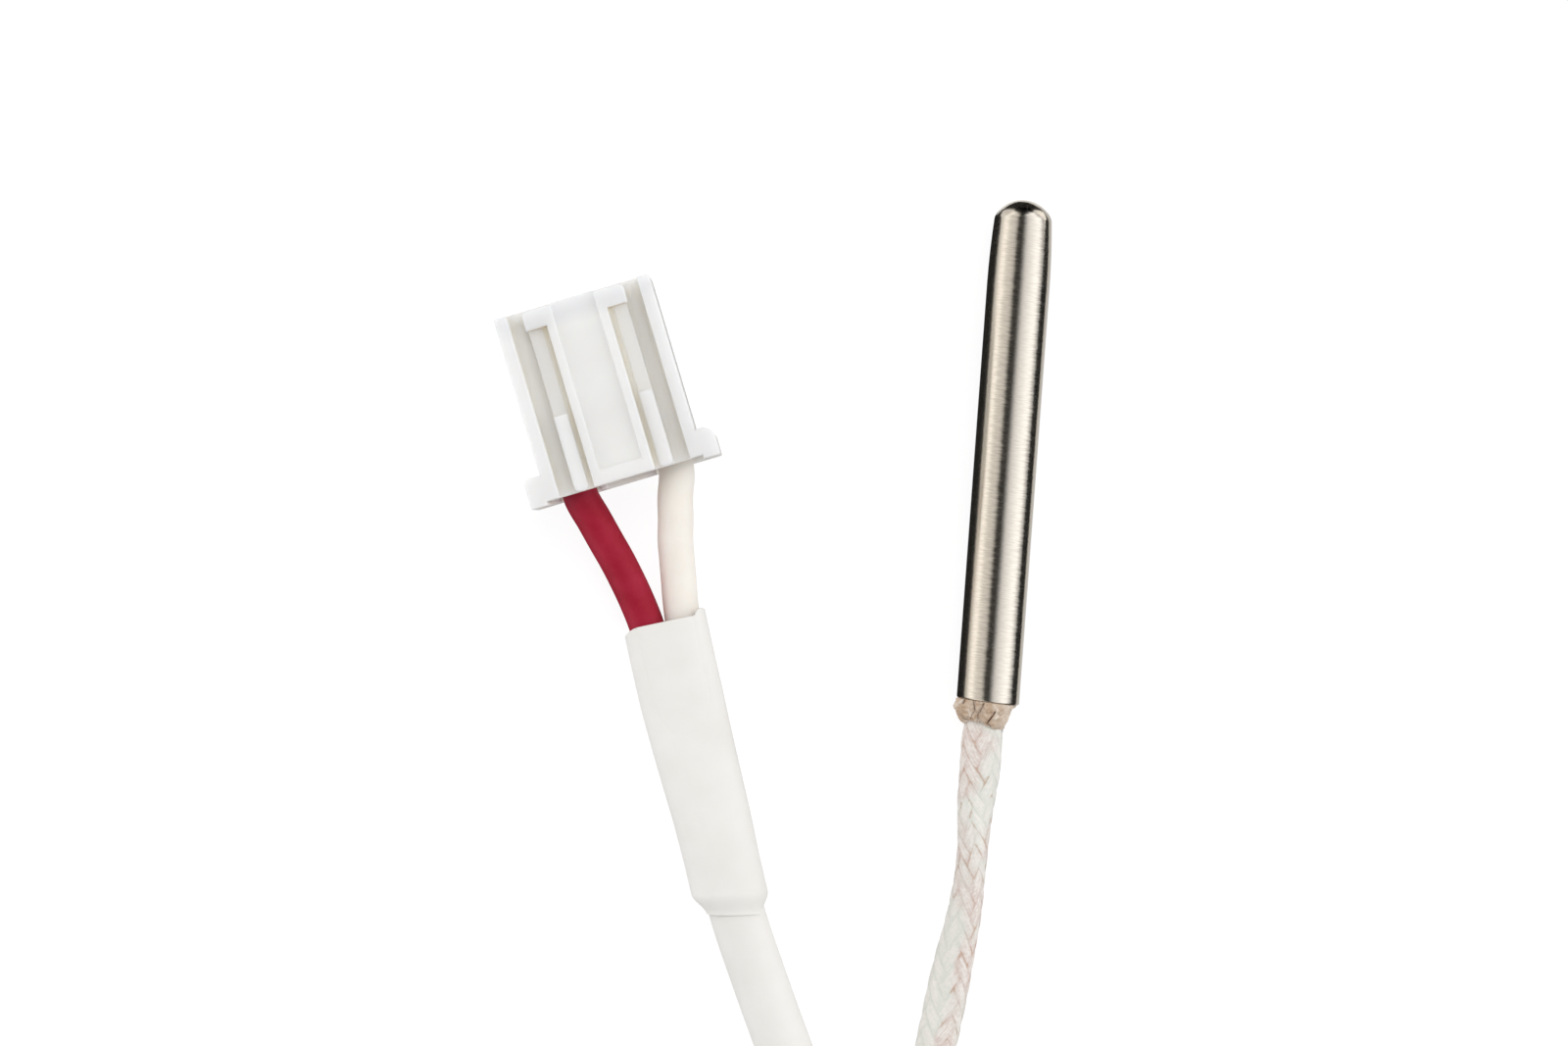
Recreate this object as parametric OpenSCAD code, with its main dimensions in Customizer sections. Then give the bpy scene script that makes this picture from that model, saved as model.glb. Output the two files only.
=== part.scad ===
/* [Sheath] */
// Outside diameter of the steel sheath
sheath_d = 3.175; // [2.9:0.005:5]
// Length of the sheath from its mouth to the tip
sheath_len = 25.4; // [20:0.1:60]
// Wall of the sheath tube
sheath_wall = 0.25; // [0.15:0.01:0.3]
// Steel left at the end of the dome
tip_wall = 0.4; // [0.2:0.05:1]
// Radius lost where the tip is spun to a dome
spin_draw = 0.14; // [0.02:0.01:0.2]
// Length over which the spinning draws the tube in
spin_len = 3.6; // [1:0.1:5]
// Broken edge round the mouth
mouth_break = 0.06; // [0.02:0.01:0.1]

/* [Sensing element] */
// Length of the ceramic chip
chip_len = 2.3; // [1.5:0.1:5]
// Width of the ceramic chip
chip_w = 1.8; // [1.5:0.05:1.9]
// Thickness of the ceramic chip
chip_t = 0.55; // [0.3:0.05:0.6]
// Distance from the inside of the dome to the chip
chip_setback = 1.3; // [1.1:0.1:3]
// Thickness of the platinum track
film_t = 0.03; // [0.01:0.01:0.05]
// Width of one run of the platinum track
track_w = 0.07; // [0.05:0.01:0.09]
// Number of runs in the track
track_runs = 9; // [5:2:11]
// Thickness of the glass over the track
glass_t = 0.12; // [0.08:0.01:0.15]
// Length of the bead that fixes the two leads
bead_len = 0.8; // [0.4:0.1:1.1]
// Height of the bead above the chip
bead_t = 0.4; // [0.3:0.05:0.5]
// Diameter of the element's lead wires
element_lead_d = 0.2; // [0.1:0.01:0.25]
// Bare length of the element's lead wires
element_lead_len = 5; // [2:0.5:7]

/* [Inner joints] */
// Outside diameter of the crimp ferrules
ferrule_d = 0.68; // [0.62:0.01:0.7]
// Length of the crimp ferrules
ferrule_len = 2.4; // [1.5:0.1:4]
// Wall of the insulating sleeve on each ferrule
joint_wall = 0.08; // [0.04:0.01:0.09]
// Length of sleeve beyond each end of the ferrule
joint_over = 0.7; // [0.3:0.1:1.5]
// Wall of the liner tube
liner_wall = 0.08; // [0.04:0.01:0.12]
// Length of filler behind the chip
filler_behind = 1.5; // [0.5:0.1:3]

/* [Lead] */
// Width of the braided lead
lead_w = 2.1; // [2:0.05:2.3]
// Thickness of the braided lead
lead_t = 1.5; // [1.3:0.05:1.7]
// Diameter of each insulated core
core_d = 0.85; // [0.7:0.01:0.88]
// Distance between the two cores
core_pitch = 0.92; // [0.9:0.01:0.98]
// Diameter of one strand, seven to a core
strand_d = 0.14; // [0.1:0.01:0.15]
// How far the braid runs into the sheath
braid_in = 3; // [1:0.1:4]
// Depth of the potting behind the mouth
potting_depth = 3.6; // [2:0.1:6]
// Length of potting that stands out of the mouth
potting_out = 1.5; // [0.8:0.1:3]
// How far the potting swells past the bore
potting_swell = 0.22; // [0.05:0.01:0.24]
// Cement round the lead where the potting runs out
potting_lip = 0.08; // [0.03:0.01:0.15]

/* [Coil] */
// Diameter of the coil at the middle of its turns
coil_mid_d = 23.1; // [21:0.1:25]
// Number of layers in the coil
coil_layers = 4; // [2:1:6]
// Turns beside each other in a layer
coil_across = 3.17; // [2:0.01:5]
// Width of the tie round the coil
tie_w = 2.5; // [1.5:0.1:5]
// Thickness of the tie
tie_t = 0.5; // [0.3:0.05:0.8]

/* [Sleeves] */
// Outside diameter of the narrow sleeve
narrow_d = 2.8; // [2.7:0.05:2.85]
// Wall of the wide sleeve
wide_wall = 0.28; // [0.15:0.01:0.3]
// Width of the wide sleeve at the plug end
wide_top_w = 4.25; // [4.2:0.05:4.5]
// Thickness of the wide sleeve at the plug end
wide_top_t = 2.6; // [2.55:0.05:3]
// Width of the wide sleeve at the lead end
wide_end_w = 3.8; // [3.6:0.05:4.2]
// Thickness of the wide sleeve at the lead end
wide_end_t = 3.55; // [3.5:0.05:3.8]
// Outside diameter of the splice ferrules
splice_d = 1.4; // [1.2:0.05:1.5]
// Length of the splice ferrules
splice_len = 4; // [3:0.1:4.5]
// How much smaller the sleeve gets at its stepped lead end
lip_drop = 0.34; // [0.1:0.01:0.4]

/* [Plug wires] */
// Outside diameter of the red and white wires
wire_d = 1.8; // [1.5:0.05:1.85]
// Diameter of the stranded conductor in them
conductor_d = 0.7; // [0.5:0.05:0.8]
// Diameter of a wire where the contact grips it
gripped_d = 1.6; // [1.3:0.05:1.7]

/* [Plug housing] */
// Distance between two ways
way_pitch = 2.5; // [2.5:0.05:3]
// Number of ways
ways = 3; // [3:1:3]
// End wall outside the last way's centre
end_margin = 1.525; // [1.5:0.005:2]
// Length of the housing from wire side to mating side
plug_len = 9.6; // [9:0.1:12]
// Thickness of the housing over its keys
plug_t = 5.75; // [5.5:0.05:7]
// How far each ear stands out
ear_out = 0.875; // [0.4:0.005:1.5]
// Length of each ear along the housing
ear_len = 1.52; // [1:0.01:2.5]
// Outer corner radius of the left ear
ear_r_left = 0.3; // [0.2:0.05:0.8]
// Outer corner radius of the right ear
ear_r_right = 0.65; // [0.2:0.05:0.8]
// Corner radius at the mating end
corner_r = 0.15; // [0.05:0.05:0.3]
// How far the caps stand back from the mating edge
cap_set = 0.08; // [0:0.01:0.2]
// How far the caps reach past the keys' outer walls
cap_over = 0.08; // [0:0.01:0.15]
// Corner radius of the keys' caps, the raised stretches and the bar
key_r = 0.25; // [0.05:0.05:0.3]
// Width of the raised wall at each side
side_wall_w = 0.65; // [0.4:0.01:0.7]
// Depth of the side walls' tops below the keys
side_wall_drop = 0.1; // [0:0.01:0.3]
// Depth of the two channels below the keys
channel_drop = 0.9; // [0.9:0.05:1.2]
// Depth of the middle panel below the keys
panel_drop = 0.3; // [0.2:0.05:0.8]
// Half width of the middle panel
panel_half = 1.1; // [0.9:0.01:1.2]
// Width of the inner rib of each key
rib_w = 0.47; // [0.3:0.01:0.5]
// Width of the slot in each key
slot_w = 0.28; // [0.15:0.01:0.35]
// Depth of the slot below the keys
slot_drop = 0.7; // [0.6:0.05:0.85]
// Width of the outer wall of each key
key_wall_w = 0.7; // [0.5:0.01:0.75]
// Depth of the low stretch of that wall below the keys
key_low = 0.55; // [0.3:0.01:0.8]
// Length of the solid cap of each key
cap_len = 1.05; // [0.6:0.05:1.5]
// Length of the raised stretch of the outer wall
grip_len = 3.9; // [2:0.1:5]
// Width of the raised stretch's level edge
grip_flat = 0.22; // [0.2:0.01:0.4]
// How far the raised stretch's top falls towards the slot
grip_fall = 0.2; // [0.05:0.05:0.4]
// Length of the bar that joins the ribs
bar_len = 0.75; // [0.4:0.05:1.2]
// How far the front stands back from the wire end
front_back = 0.2; // [0.1:0.05:0.6]
// Inner width of a way
way_w = 2.06; // [2.04:0.01:2.1]
// Inner height of a way
way_h = 2.6; // [2.5:0.05:2.7]
// Wall behind the ways
back_wall = 1; // [0.6:0.05:1]
// Wall at the mating end
mating_wall = 1; // [0.8:0.05:1.5]
// Side of a square pin hole
pin_hole = 0.95; // [0.8:0.01:1.2]
// Width of the funnel round each pin hole
pin_funnel = 0.25; // [0.1:0.05:0.4]
// Width of a latch window in the back
window_w = 1.2; // [1:0.05:1.6]
// Length of that window on the wire side of the contact's box
window_before = 0.6; // [0.4:0.05:0.8]
// Length of a latch window
window_len = 1.8; // [1.6:0.1:2.2]

/* [Contacts] */
// Thickness of the contact's sheet metal
contact_t = 0.18; // [0.12:0.01:0.2]
// Width of the contact's box
box_w = 1.7; // [1.5:0.05:1.9]
// Height of the contact's box
box_h = 1.9; // [1.7:0.05:2.1]
// Length of the contact's box
box_len = 3; // [2.5:0.1:3.2]
// Length of the grip round the conductor
strand_grip_len = 1.5; // [1:0.1:1.6]
// Length of the grip round the insulation
wire_grip_len = 1.4; // [1:0.1:1.5]
// Reach of the latch below the box
lance_out = 0.6; // [0.5:0.05:0.7]
// Width of the latch
lance_w = 0.7; // [0.5:0.05:0.9]
// Length of the latch
lance_len = 1.3; // [0.8:0.1:2]
// Width of the strip that carries the grips
strip_w = 1; // [0.6:0.05:1.2]
// Width of the spring in the box
spring_w = 0.7; // [0.4:0.05:1]
// Height of the spring's crest
spring_h = 0.45; // [0.3:0.05:0.6]
// Distance from the wire end of the housing to the contact
contact_in = 0.9; // [0.7:0.1:1.2]
// Bare strands between the two grips
grip_gap = 0.5; // [0.3:0.1:0.8]

/* [Clearances] */
// Gap between pieces that are cast or shrunk on each other
snug = 0.01; // [0.005:0.005:0.02]
// Gap between pieces that slide together
slip = 0.04; // [0.02:0.01:0.06]

/* [Hidden] */

steel = "#b9b2a4";
cement = "#cdb9a2";
ceramic = "#f2f0ea";
glassy = "#d8e4e2";
platinum = "#8d8f94";
tinned = "#c9c6bd";
amber = "#c98a2c";
fibre = "#ece4e0";
red = "#a51c36";
cream = "#eee8de";
shrink = "#e9e8e4";
nylon = "#f0f0ee";

// Red pieces lie on the left of an axis, white ones on the right
red_side = -1;
white_side = 1;

// The head lies on the surface, centred on the origin, tip towards +Y
sheath_r = sheath_d / 2;
bore_r = sheath_r - sheath_wall;
head_len = sheath_len + potting_out;
mouth_y = potting_out - head_len / 2;
axis_z = sheath_r;

// Distances from the mouth towards the tip
inner_end = sheath_len - tip_wall;
chip_from = inner_end - chip_setback - chip_len;
filler_from = chip_from - filler_behind;
ferrule_to = chip_from - element_lead_len;
ferrule_from = ferrule_to - ferrule_len;
ferrule_mid = (ferrule_from + ferrule_to) / 2;
liner_from = potting_depth + slip;
liner_to = filler_from;
liner_r = bore_r - slip;

// Heights from the axis: the element's leads run on it
chip_top = -element_lead_d / 2;
bundle_d = 3 * strand_d;
core_bore = bundle_d + 2 * snug;
ferrule_bore = core_bore;
joint_bore = ferrule_d + 2 * snug;
joint_d = joint_bore + 2 * joint_wall;

coil_r = coil_mid_d / 2;
coil_half = (coil_across + 1) * lead_w / 2;
coil_h = coil_layers * lead_w;
coil_x = -3;
coil_y = -48;
tie_angle = 270;
lead_sides = 8;
sleeve_sides = 16;
wide_sides = 24;
wire_sides = 12;
tiny = 0.001;
spin_steps = 8;

// Frames of reference
module from_mouth(along = 0) translate([0, mouth_y + along, axis_z]) rotate([-90, 0, 0]) children();
module beside_axis(side) translate([side * core_pitch / 2, 0, 0]) children();
function at_mouth(points) = [for (p = points) [p[0], p[1] + mouth_y, p[2]]];

// Sweeps: a section carried along a route, its height kept upright
function unit(v) = v / norm(v);
function heading(route, i) = unit(route[min(i + 1, len(route) - 1)] - route[max(i - 1, 0)]);
function power(x, e) = sign(x) * pow(abs(x), 2 / e);
function oval(w, h, sides, e = 2) =
    [for (i = [0:sides - 1]) let (a = 360 * (i + 0.5) / sides)
        [w / 2 * power(cos(a), e), h / 2 * power(sin(a), e)]];
function placed(p, t, section) =
    let (s = unit(cross(t, [0, 0, 1])), u = cross(s, t)) [for (q = section) p + s * q[0] + u * q[1]];
function rings(route, sections) =
    [for (i = [0:len(route) - 1]) placed(route[i], heading(route, i), sections[i])];
function same(section, route) = [for (p = route) section];
function flat(lists) = [for (l = lists) for (p = l) p];
function quad(a, b, c, d) = [[a, b, c], [a, c, d]];
function walls(count, sides, from, out) = [
    for (j = [0:count - 2]) for (i = [0:sides - 1])
        let (k = (i + 1) % sides, a = from + j * sides, b = a + sides)
            each (out ? quad(a + i, a + k, b + k, b + i) : quad(a + i, b + i, b + k, a + k))
];
function rim(sides, outer, inner, first) = [
    for (i = [0:sides - 1]) let (k = (i + 1) % sides)
        each (first ? quad(outer + k, outer + i, inner + i, inner + k)
                    : quad(outer + i, outer + k, inner + k, inner + i))
];

module rod(rings) {
    sides = len(rings[0]);
    last = (len(rings) - 1) * sides;
    caps = [[for (i = [sides - 1:-1:0]) i], [for (i = [0:sides - 1]) last + i]];
    polyhedron(flat(rings), concat(walls(len(rings), sides, 0, true), caps));
}

module pipe(outer, inner) {
    sides = len(outer[0]);
    count = len(outer);
    last = (count - 1) * sides;
    in = count * sides;
    polyhedron(
        concat(flat(outer), flat(inner)),
        concat(walls(count, sides, 0, true), walls(count, sides, in, false),
            rim(sides, 0, in, true), rim(sides, last, in + last, false))
    );
}

module straight_tube(od, id, length) {
    difference() {
        cylinder(d = od, h = length, $fn = 48);
        translate([0, 0, -1]) cylinder(d = id, h = length + 2, $fn = 48);
    }
}

module stadium(w, h) {
    for (s = [-1, 1]) translate([s * (w - h) / 2, 0]) circle(d = h, $fn = 48);
    square([w - h, h], center = true);
}

// Half profile of a rod that is drawn in to a shoulder and closed by a dome, to be turned about its axis
module nosed(r, to, dome_r) {
    shoulder = r - spin_draw;
    dome_from = to - dome_r + sqrt(max(0, dome_r * dome_r - shoulder * shoulder));
    drawn = [for (t = [0:1 / spin_steps:1]) [r - spin_draw * t * t, dome_from - spin_len * (1 - t)]];
    polygon(concat([[0, 0], [r, 0]], drawn, [[0, dome_from]]));
    intersection() {
        translate([0, to - dome_r]) circle(dome_r, $fn = 96);
        translate([0, dome_from - tiny]) square([shoulder, dome_r + 1]);
    }
}

module sheath() {
    color(steel) from_mouth() rotate_extrude($fn = 96) difference() {
        nosed(sheath_r, sheath_len, sheath_r);
        translate([0, -1]) square([bore_r, 1 + tiny]);
        nosed(bore_r, inner_end, bore_r - spin_draw);
        polygon([[bore_r - tiny, -tiny], [bore_r + mouth_break / 2, -tiny], [bore_r - tiny, mouth_break]]);
        polygon([
            [sheath_r + tiny, -tiny], [sheath_r - mouth_break, -tiny], [sheath_r + tiny, mouth_break],
        ]);
    }
}

module liner_tube() {
    color(amber) from_mouth(liner_from)
        straight_tube(2 * liner_r, 2 * (liner_r - liner_wall), liner_to - liner_from);
}

// Everything that the cement in the tip is cast around, grown by a snug gap
module element_space() {
    grown = 2 * snug;
    // The chip below its top face, then the glass and the bead above it
    for (size = [[chip_t, 0, chip_len], [glass_t, glass_t, chip_len], [bead_t, bead_t, bead_len]])
        translate([-chip_w / 2 - snug, -chip_top - size[1] - snug, chip_from - snug])
            cube([chip_w + grown, size[0] + grown, size[2] + grown]);
    for (side = [red_side, white_side]) beside_axis(side) translate([0, 0, filler_from - 1])
        cylinder(d = element_lead_d + grown, h = filler_behind + 2, $fn = 24);
}

module tip_filler() {
    color(cement) from_mouth() difference() {
        rotate_extrude($fn = 96) difference() {
            nosed(bore_r - snug, inner_end - snug, bore_r - spin_draw - snug);
            translate([-1, -1]) square([bore_r + 2, filler_from + 1]);
        }
        element_space();
    }
}

module element_chip() {
    color(ceramic) from_mouth(chip_from) translate([-chip_w / 2, -chip_top, 0])
        cube([chip_w, chip_t, chip_len]);
}

// The track goes to and fro along the chip, and its two ends run under the bead
track_end = bead_len / 2;
track_near = bead_len + track_w;
track_far = chip_len - track_w;
track_step = (chip_w - 3 * track_w) / (track_runs - 1);
module track_outline() {
    left = -track_step * (track_runs - 1) / 2 - track_w / 2;
    for (i = [0:track_runs - 1]) {
        from = i == 0 || i == track_runs - 1 ? track_end : track_near;
        translate([left + i * track_step, from]) square([track_w, track_far - from]);
    }
    for (i = [0:track_runs - 2])
        translate([left + i * track_step, i % 2 == 0 ? track_far - track_w : track_near])
            square([track_step + track_w, track_w]);
}

module on_chip() {
    from_mouth(chip_from) translate([0, -chip_top, 0]) rotate([90, 0, 0]) children();
}

module platinum_track() {
    color(platinum) on_chip() linear_extrude(film_t) track_outline();
}

module glass_cover() {
    color(glassy) on_chip() difference() {
        translate([-chip_w / 2, bead_len, 0]) cube([chip_w, chip_len - bead_len, glass_t]);
        translate([0, 0, -tiny]) linear_extrude(film_t + tiny) track_outline();
    }
}

module lead_bead() {
    color(ceramic) on_chip() difference() {
        translate([-chip_w / 2, 0, 0]) cube([chip_w, bead_len, bead_t]);
        translate([0, 0, -tiny]) linear_extrude(film_t + tiny) track_outline();
        for (side = [red_side, white_side])
            translate([side * core_pitch / 2, -1, element_lead_d / 2]) rotate([-90, 0, 0])
                cylinder(d = element_lead_d + 2 * snug, h = track_end + 1, $fn = 24);
    }
}

module element_lead(side) {
    color(platinum) from_mouth(ferrule_mid + snug) beside_axis(side)
        cylinder(d = element_lead_d, h = chip_from + track_end - ferrule_mid - 2 * snug, $fn = 24);
}
module element_lead_red() element_lead(red_side);
module element_lead_white() element_lead(white_side);

// Dents that a crimping tool leaves on both sides of a ferrule, as shares of its size
crimp_places = [0.15, 0.65];
crimp_len = 0.2;
crimp_press = 0.06;
module crimp_dents(d, length) {
    for (at = crimp_places) for (s = [-1, 1])
        translate([-d, s * d * (1 - crimp_press) - d / 2, length * at])
            cube([2 * d, d, length * crimp_len]);
}

module ferrule(side) {
    color(tinned) from_mouth(ferrule_from) beside_axis(side) difference() {
        cylinder(d = ferrule_d, h = ferrule_len, $fn = 48);
        translate([0, 0, -1]) cylinder(d = ferrule_bore, h = ferrule_len / 2 + 1, $fn = 24);
        cylinder(d = element_lead_d + 2 * snug, h = ferrule_len + 1, $fn = 24);
        crimp_dents(ferrule_d, ferrule_len);
    }
}
module ferrule_red() ferrule(red_side);
module ferrule_white() ferrule(white_side);

module joint_sleeve(side) {
    color(amber) from_mouth(ferrule_from - joint_over) beside_axis(side) difference() {
        cylinder(d = joint_d, h = ferrule_len + 2 * joint_over, $fn = 48);
        translate([0, 0, -1])
            cylinder(d = max(joint_bore, core_d + 2 * snug), h = joint_over + 1, $fn = 48);
        cylinder(d = joint_bore, h = ferrule_len + 2 * joint_over + 1, $fn = 48);
    }
}
module joint_sleeve_red() joint_sleeve(red_side);
module joint_sleeve_white() joint_sleeve(white_side);

module core(side) {
    color(side == red_side ? red : cream) from_mouth(-potting_out) beside_axis(side)
        straight_tube(core_d, core_bore, potting_out + ferrule_from - joint_over - slip);
}
module core_red() core(red_side);
module core_white() core(white_side);

module core_strands(side) {
    strand = strand_d - 2 * snug / 3;
    color(tinned) from_mouth(-potting_out) beside_axis(side) {
        cylinder(d = strand, h = potting_out + ferrule_mid - snug, $fn = 16);
        for (i = [0:5]) rotate(60 * i) translate([strand_d, 0, 0])
            cylinder(d = strand, h = potting_out + ferrule_mid - snug, $fn = 16);
    }
}
module core_strands_red() core_strands(red_side);
module core_strands_white() core_strands(white_side);

module braid_end() {
    color(fibre) from_mouth(-potting_out) linear_extrude(potting_out + braid_in) difference() {
        stadium(lead_w, lead_t);
        stadium(core_pitch + core_d + 2 * snug, core_d + 2 * snug);
    }
}

// The cement fills the mouth, swells out of it and tapers onto the lead
potting_profile = [for (a = [0:15:75]) [sin(a), cos(a)]];
module potting_plug() {
    thin = lead_w / 2 + potting_lip;
    swell = bore_r + potting_swell;
    color(cement) from_mouth() difference() {
        rotate_extrude($fn = 96) polygon(concat(
            [[0, -potting_out]],
            [for (p = potting_profile) [thin + (swell - thin) * p[0], -potting_out * p[1]]],
            [[swell, -snug], [bore_r - snug, -snug], [bore_r - snug, potting_depth], [0, potting_depth]]
        ));
        translate([0, 0, -potting_out - 1]) linear_extrude(potting_out + braid_in + 1)
            stadium(lead_w + 2 * snug, lead_t + 2 * snug);
        for (side = [red_side, white_side]) beside_axis(side)
            translate([0, 0, braid_in - 1]) cylinder(d = core_d + 2 * snug, h = potting_depth, $fn = 48);
    }
}

// Route of the lead from the potting down to the surface and on to the coil
probe_route = at_mouth([
    [0, -potting_out, axis_z], [-0.1, -3, 1.5], [-0.2, -5, 1.25], [-0.2, -8, 1.05], [-0.4, -11, 1.05],
    [-0.7, -13, 1.05], [-1.1, -16, 1.05], [-1.5, -19, 1.05], [-1.7, -22, 1.05], [-1.5, -25, 1.05],
    [-0.8, -28, 1.05], [0.5, -30.7, 1.05], [2.4, -33, 1.05],
]);

// Route of the lead from the coil's top layer down to the surface, then in the sleeves
plug_route = at_mouth([
    [-15.2, -37.7, 7.3], [-14.6, -34.8, 6.7], [-13.4, -32.5, 5.5], [-11.9, -30.7, 4.1], [-10.3, -29, 2.6],
    [-8.6, -27.2, 1.5], [-7.6, -25, 1.1], [-7.4, -23, 1.2], [-7.8, -21, 1.4], [-8.65, -19, 1.42],
    [-9.55, -17, 1.42], [-10.65, -14.5, 1.45], [-11.5, -12.5, 1.6], [-12.15, -10.8, 1.75],
    [-12.9, -8.7, 1.75],
]);
narrow_from = 8;
narrow_route = [for (i = [narrow_from:len(plug_route) - 1]) plug_route[i]];

// A tube's last ring is cut to lie against the round side of the coil
function coil_centre() = [coil_x, coil_y + mouth_y, 0];
function cut_ring(ring, t, normal, at) = [for (q = ring) q + t * ((at - q) * normal) / (t * normal)];
function outward(p) = unit([p[0] - coil_centre()[0], p[1] - coil_centre()[1], 0]);
function on_coil(p) = let (o = outward(p), c = coil_centre()) [c[0], c[1], p[2]] + o * (coil_r + coil_half);

module lead_run_probe() {
    last = len(probe_route) - 1;
    plain = rings(probe_route, same(oval(lead_w, lead_w, lead_sides), probe_route));
    end = on_coil(probe_route[last]);
    cut = cut_ring(plain[last], heading(probe_route, last), outward(end), end);
    first = placed(probe_route[0], [0, -1, 0], oval(lead_w, lead_w, lead_sides));
    color(fibre) rod([first, for (i = [1:last - 1]) plain[i], cut]);
}

module lead_run_plug() {
    last = len(plug_route) - 1;
    plain = rings(plug_route, same(oval(lead_w, lead_w, lead_sides), plug_route));
    start = on_coil(plug_route[0]);
    cut = cut_ring(plain[0], heading(plug_route, 0), outward(start), start);
    color(fibre) rod([cut, for (i = [1:last]) plain[i]]);
}

module lead_coil() {
    color(fibre) translate(coil_centre()) difference() {
        rotate_extrude($fn = 96) translate([coil_r - coil_half, 0]) square([2 * coil_half, coil_h]);
        tie_band(snug, tie_t);
    }
}

// A strap round the bundle of turns, sunk in the groove that it draws
module tie_band(gap, beyond) {
    bundle = [2 * coil_half, coil_h];
    rotate([0, 0, tie_angle]) translate([coil_r, 0, coil_h / 2]) rotate([90, 0, 0])
        linear_extrude(tie_w + 2 * gap, center = true) difference() {
            square(bundle + 2 * [beyond, beyond], center = true);
            square(bundle - 2 * [tie_t + gap, tie_t + gap], center = true);
        }
}

module coil_tie() {
    color(nylon) translate(coil_centre()) tie_band(0, 0);
}

module narrow_sleeve() {
    bore = lead_w + 2 * slip;
    color(shrink) pipe(
        rings(narrow_route, same(oval(narrow_d, narrow_d, sleeve_sides), narrow_route)),
        rings(narrow_route, same(oval(bore, bore, sleeve_sides), narrow_route))
    );
}

// Middle line of the wide sleeve from the plug end to its step, seen from above
wide_line = [
    [-16.6, 2.8], [-16.1, 1.1], [-15.45, -1], [-14.8, -3], [-14.15, -4.9],
    [-13.5, -6.8], [-12.9, -8.7], [-12.35, -10.45], [-12.2, -10.9],
];
wide_parts = len(wide_line) - 1;
wide_lift = 0.03;
wide_even = 2;
function blend(a, b, i) = a + (b - a) * max(0, min(1, (i - wide_even) / (wide_parts - 2 * wide_even)));
function wide_w(i) = blend(wide_top_w, wide_end_w, i) - (i == wide_parts ? lip_drop : 0);
function wide_t(i) = blend(wide_top_t, wide_end_t, i);
function wide_square(i) = blend(3.2, 2.2, i);
wide_route = at_mouth([
    for (i = [0:wide_parts]) [wide_line[i][0], wide_line[i][1], wide_t(i) / 2 + wide_lift]
]);
function wide_outer(i) =
    oval(wide_w(i), wide_t(i) - (i == wide_parts ? lip_drop : 0), wide_sides, wide_square(i));
function wide_inner(i) = let (w = blend(wide_top_w, wide_end_w, i))
    oval(w - 2 * wide_wall, wide_t(i) - 2 * wide_wall, wide_sides, wide_square(i));

module wide_sleeve() {
    color(shrink) pipe(
        rings(wide_route, [for (i = [0:wide_parts]) wide_outer(i)]),
        rings(wide_route, [for (i = [0:wide_parts]) wide_inner(i)])
    );
}

// The housing lies on its back, wire side towards the sleeves
plug_x = -18.9;
plug_y = 9.7;
plug_turn = 20.8;
body_w = (ways - 1) * way_pitch + 2 * end_margin;
way_z = back_wall + way_h / 2;
module at_plug() translate([plug_x, plug_y + mouth_y, 0]) rotate([0, 0, plug_turn]) children();
function plug_point(x, y, z) = [
    plug_x + x * cos(plug_turn) - y * sin(plug_turn),
    plug_y + mouth_y + x * sin(plug_turn) + y * cos(plug_turn),
    z
];
function way_x(side) = side * (ways - 1) * way_pitch / 2;

// Places along a contact, from the wire side
wire_grip_to = contact_in + wire_grip_len;
strand_grip_to = wire_grip_to + grip_gap + strand_grip_len;
box_to = plug_len - mating_wall - slip;
box_from = box_to - box_len;
insulation_to = wire_grip_to + 0.4 * grip_gap;

// Lines of the two wires between the wide sleeve and the housing
wire_spread = wire_d / 2 + snug;
function along(route, s, i = 0) =
    let (d = norm(route[i + 1] - route[i]))
    s <= d || i == len(route) - 2
        ? route[i] + (route[i + 1] - route[i]) * s / d
        : along(route, s - d, i + 1);
function in_sleeve(side, down) =
    let (p = along(wide_route, down), t = unit(along(wide_route, down + 1) - p))
    p + unit(cross([0, 0, 1], t)) * side * wire_spread;
red_bend = at_mouth([
    [-18.1, 3.8, 1.35], [-18.65, 4.8, 1.55], [-19.25, 5.8, 1.8], [-19.85, 6.7, 2], [-20.5, 7.7, 2.2],
]);
white_bend = at_mouth([
    [-15.9, 4, 1.3], [-16.05, 5, 1.45], [-16.2, 6, 1.65], [-16.35, 7, 1.9], [-16.4, 8, 2.1],
    [-16.5, 9, 2.25],
]);
bare_from = 3.6;
squeezed_over = 0.1;
function wire_route(side) = concat(
    [for (down = [bare_from, bare_from / 2, bare_from / 18]) in_sleeve(side, down)],
    side == red_side ? red_bend : white_bend,
    [for (y = [0, contact_in - squeezed_over, insulation_to]) plug_point(way_x(side), y, way_z)]
);
function wire_width(route, i) = i < len(route) - 2 ? wire_d : gripped_d;

module wire(side) {
    route = wire_route(side);
    widths = [for (i = [0:len(route) - 1]) wire_width(route, i)];
    bore = conductor_d + 2 * slip;
    color(side == red_side ? red : cream) pipe(
        rings(route, [for (w = widths) oval(w, w, wire_sides)]),
        rings(route, same(oval(bore, bore, wire_sides), route))
    );
}
module wire_red() wire(red_side);
module wire_white() wire(white_side);

splice_in = 0.6;
module conductor(side) {
    inside = wire_route(side);
    last = len(inside) - 1;
    route = concat([in_sleeve(side, bare_from + splice_in)], inside,
        [plug_point(way_x(side), strand_grip_to - slip, way_z)]);
    color(tinned) rod(rings(route, same(oval(conductor_d, conductor_d, lead_sides), route)));
}
module conductor_red() conductor(red_side);
module conductor_white() conductor(white_side);

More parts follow.
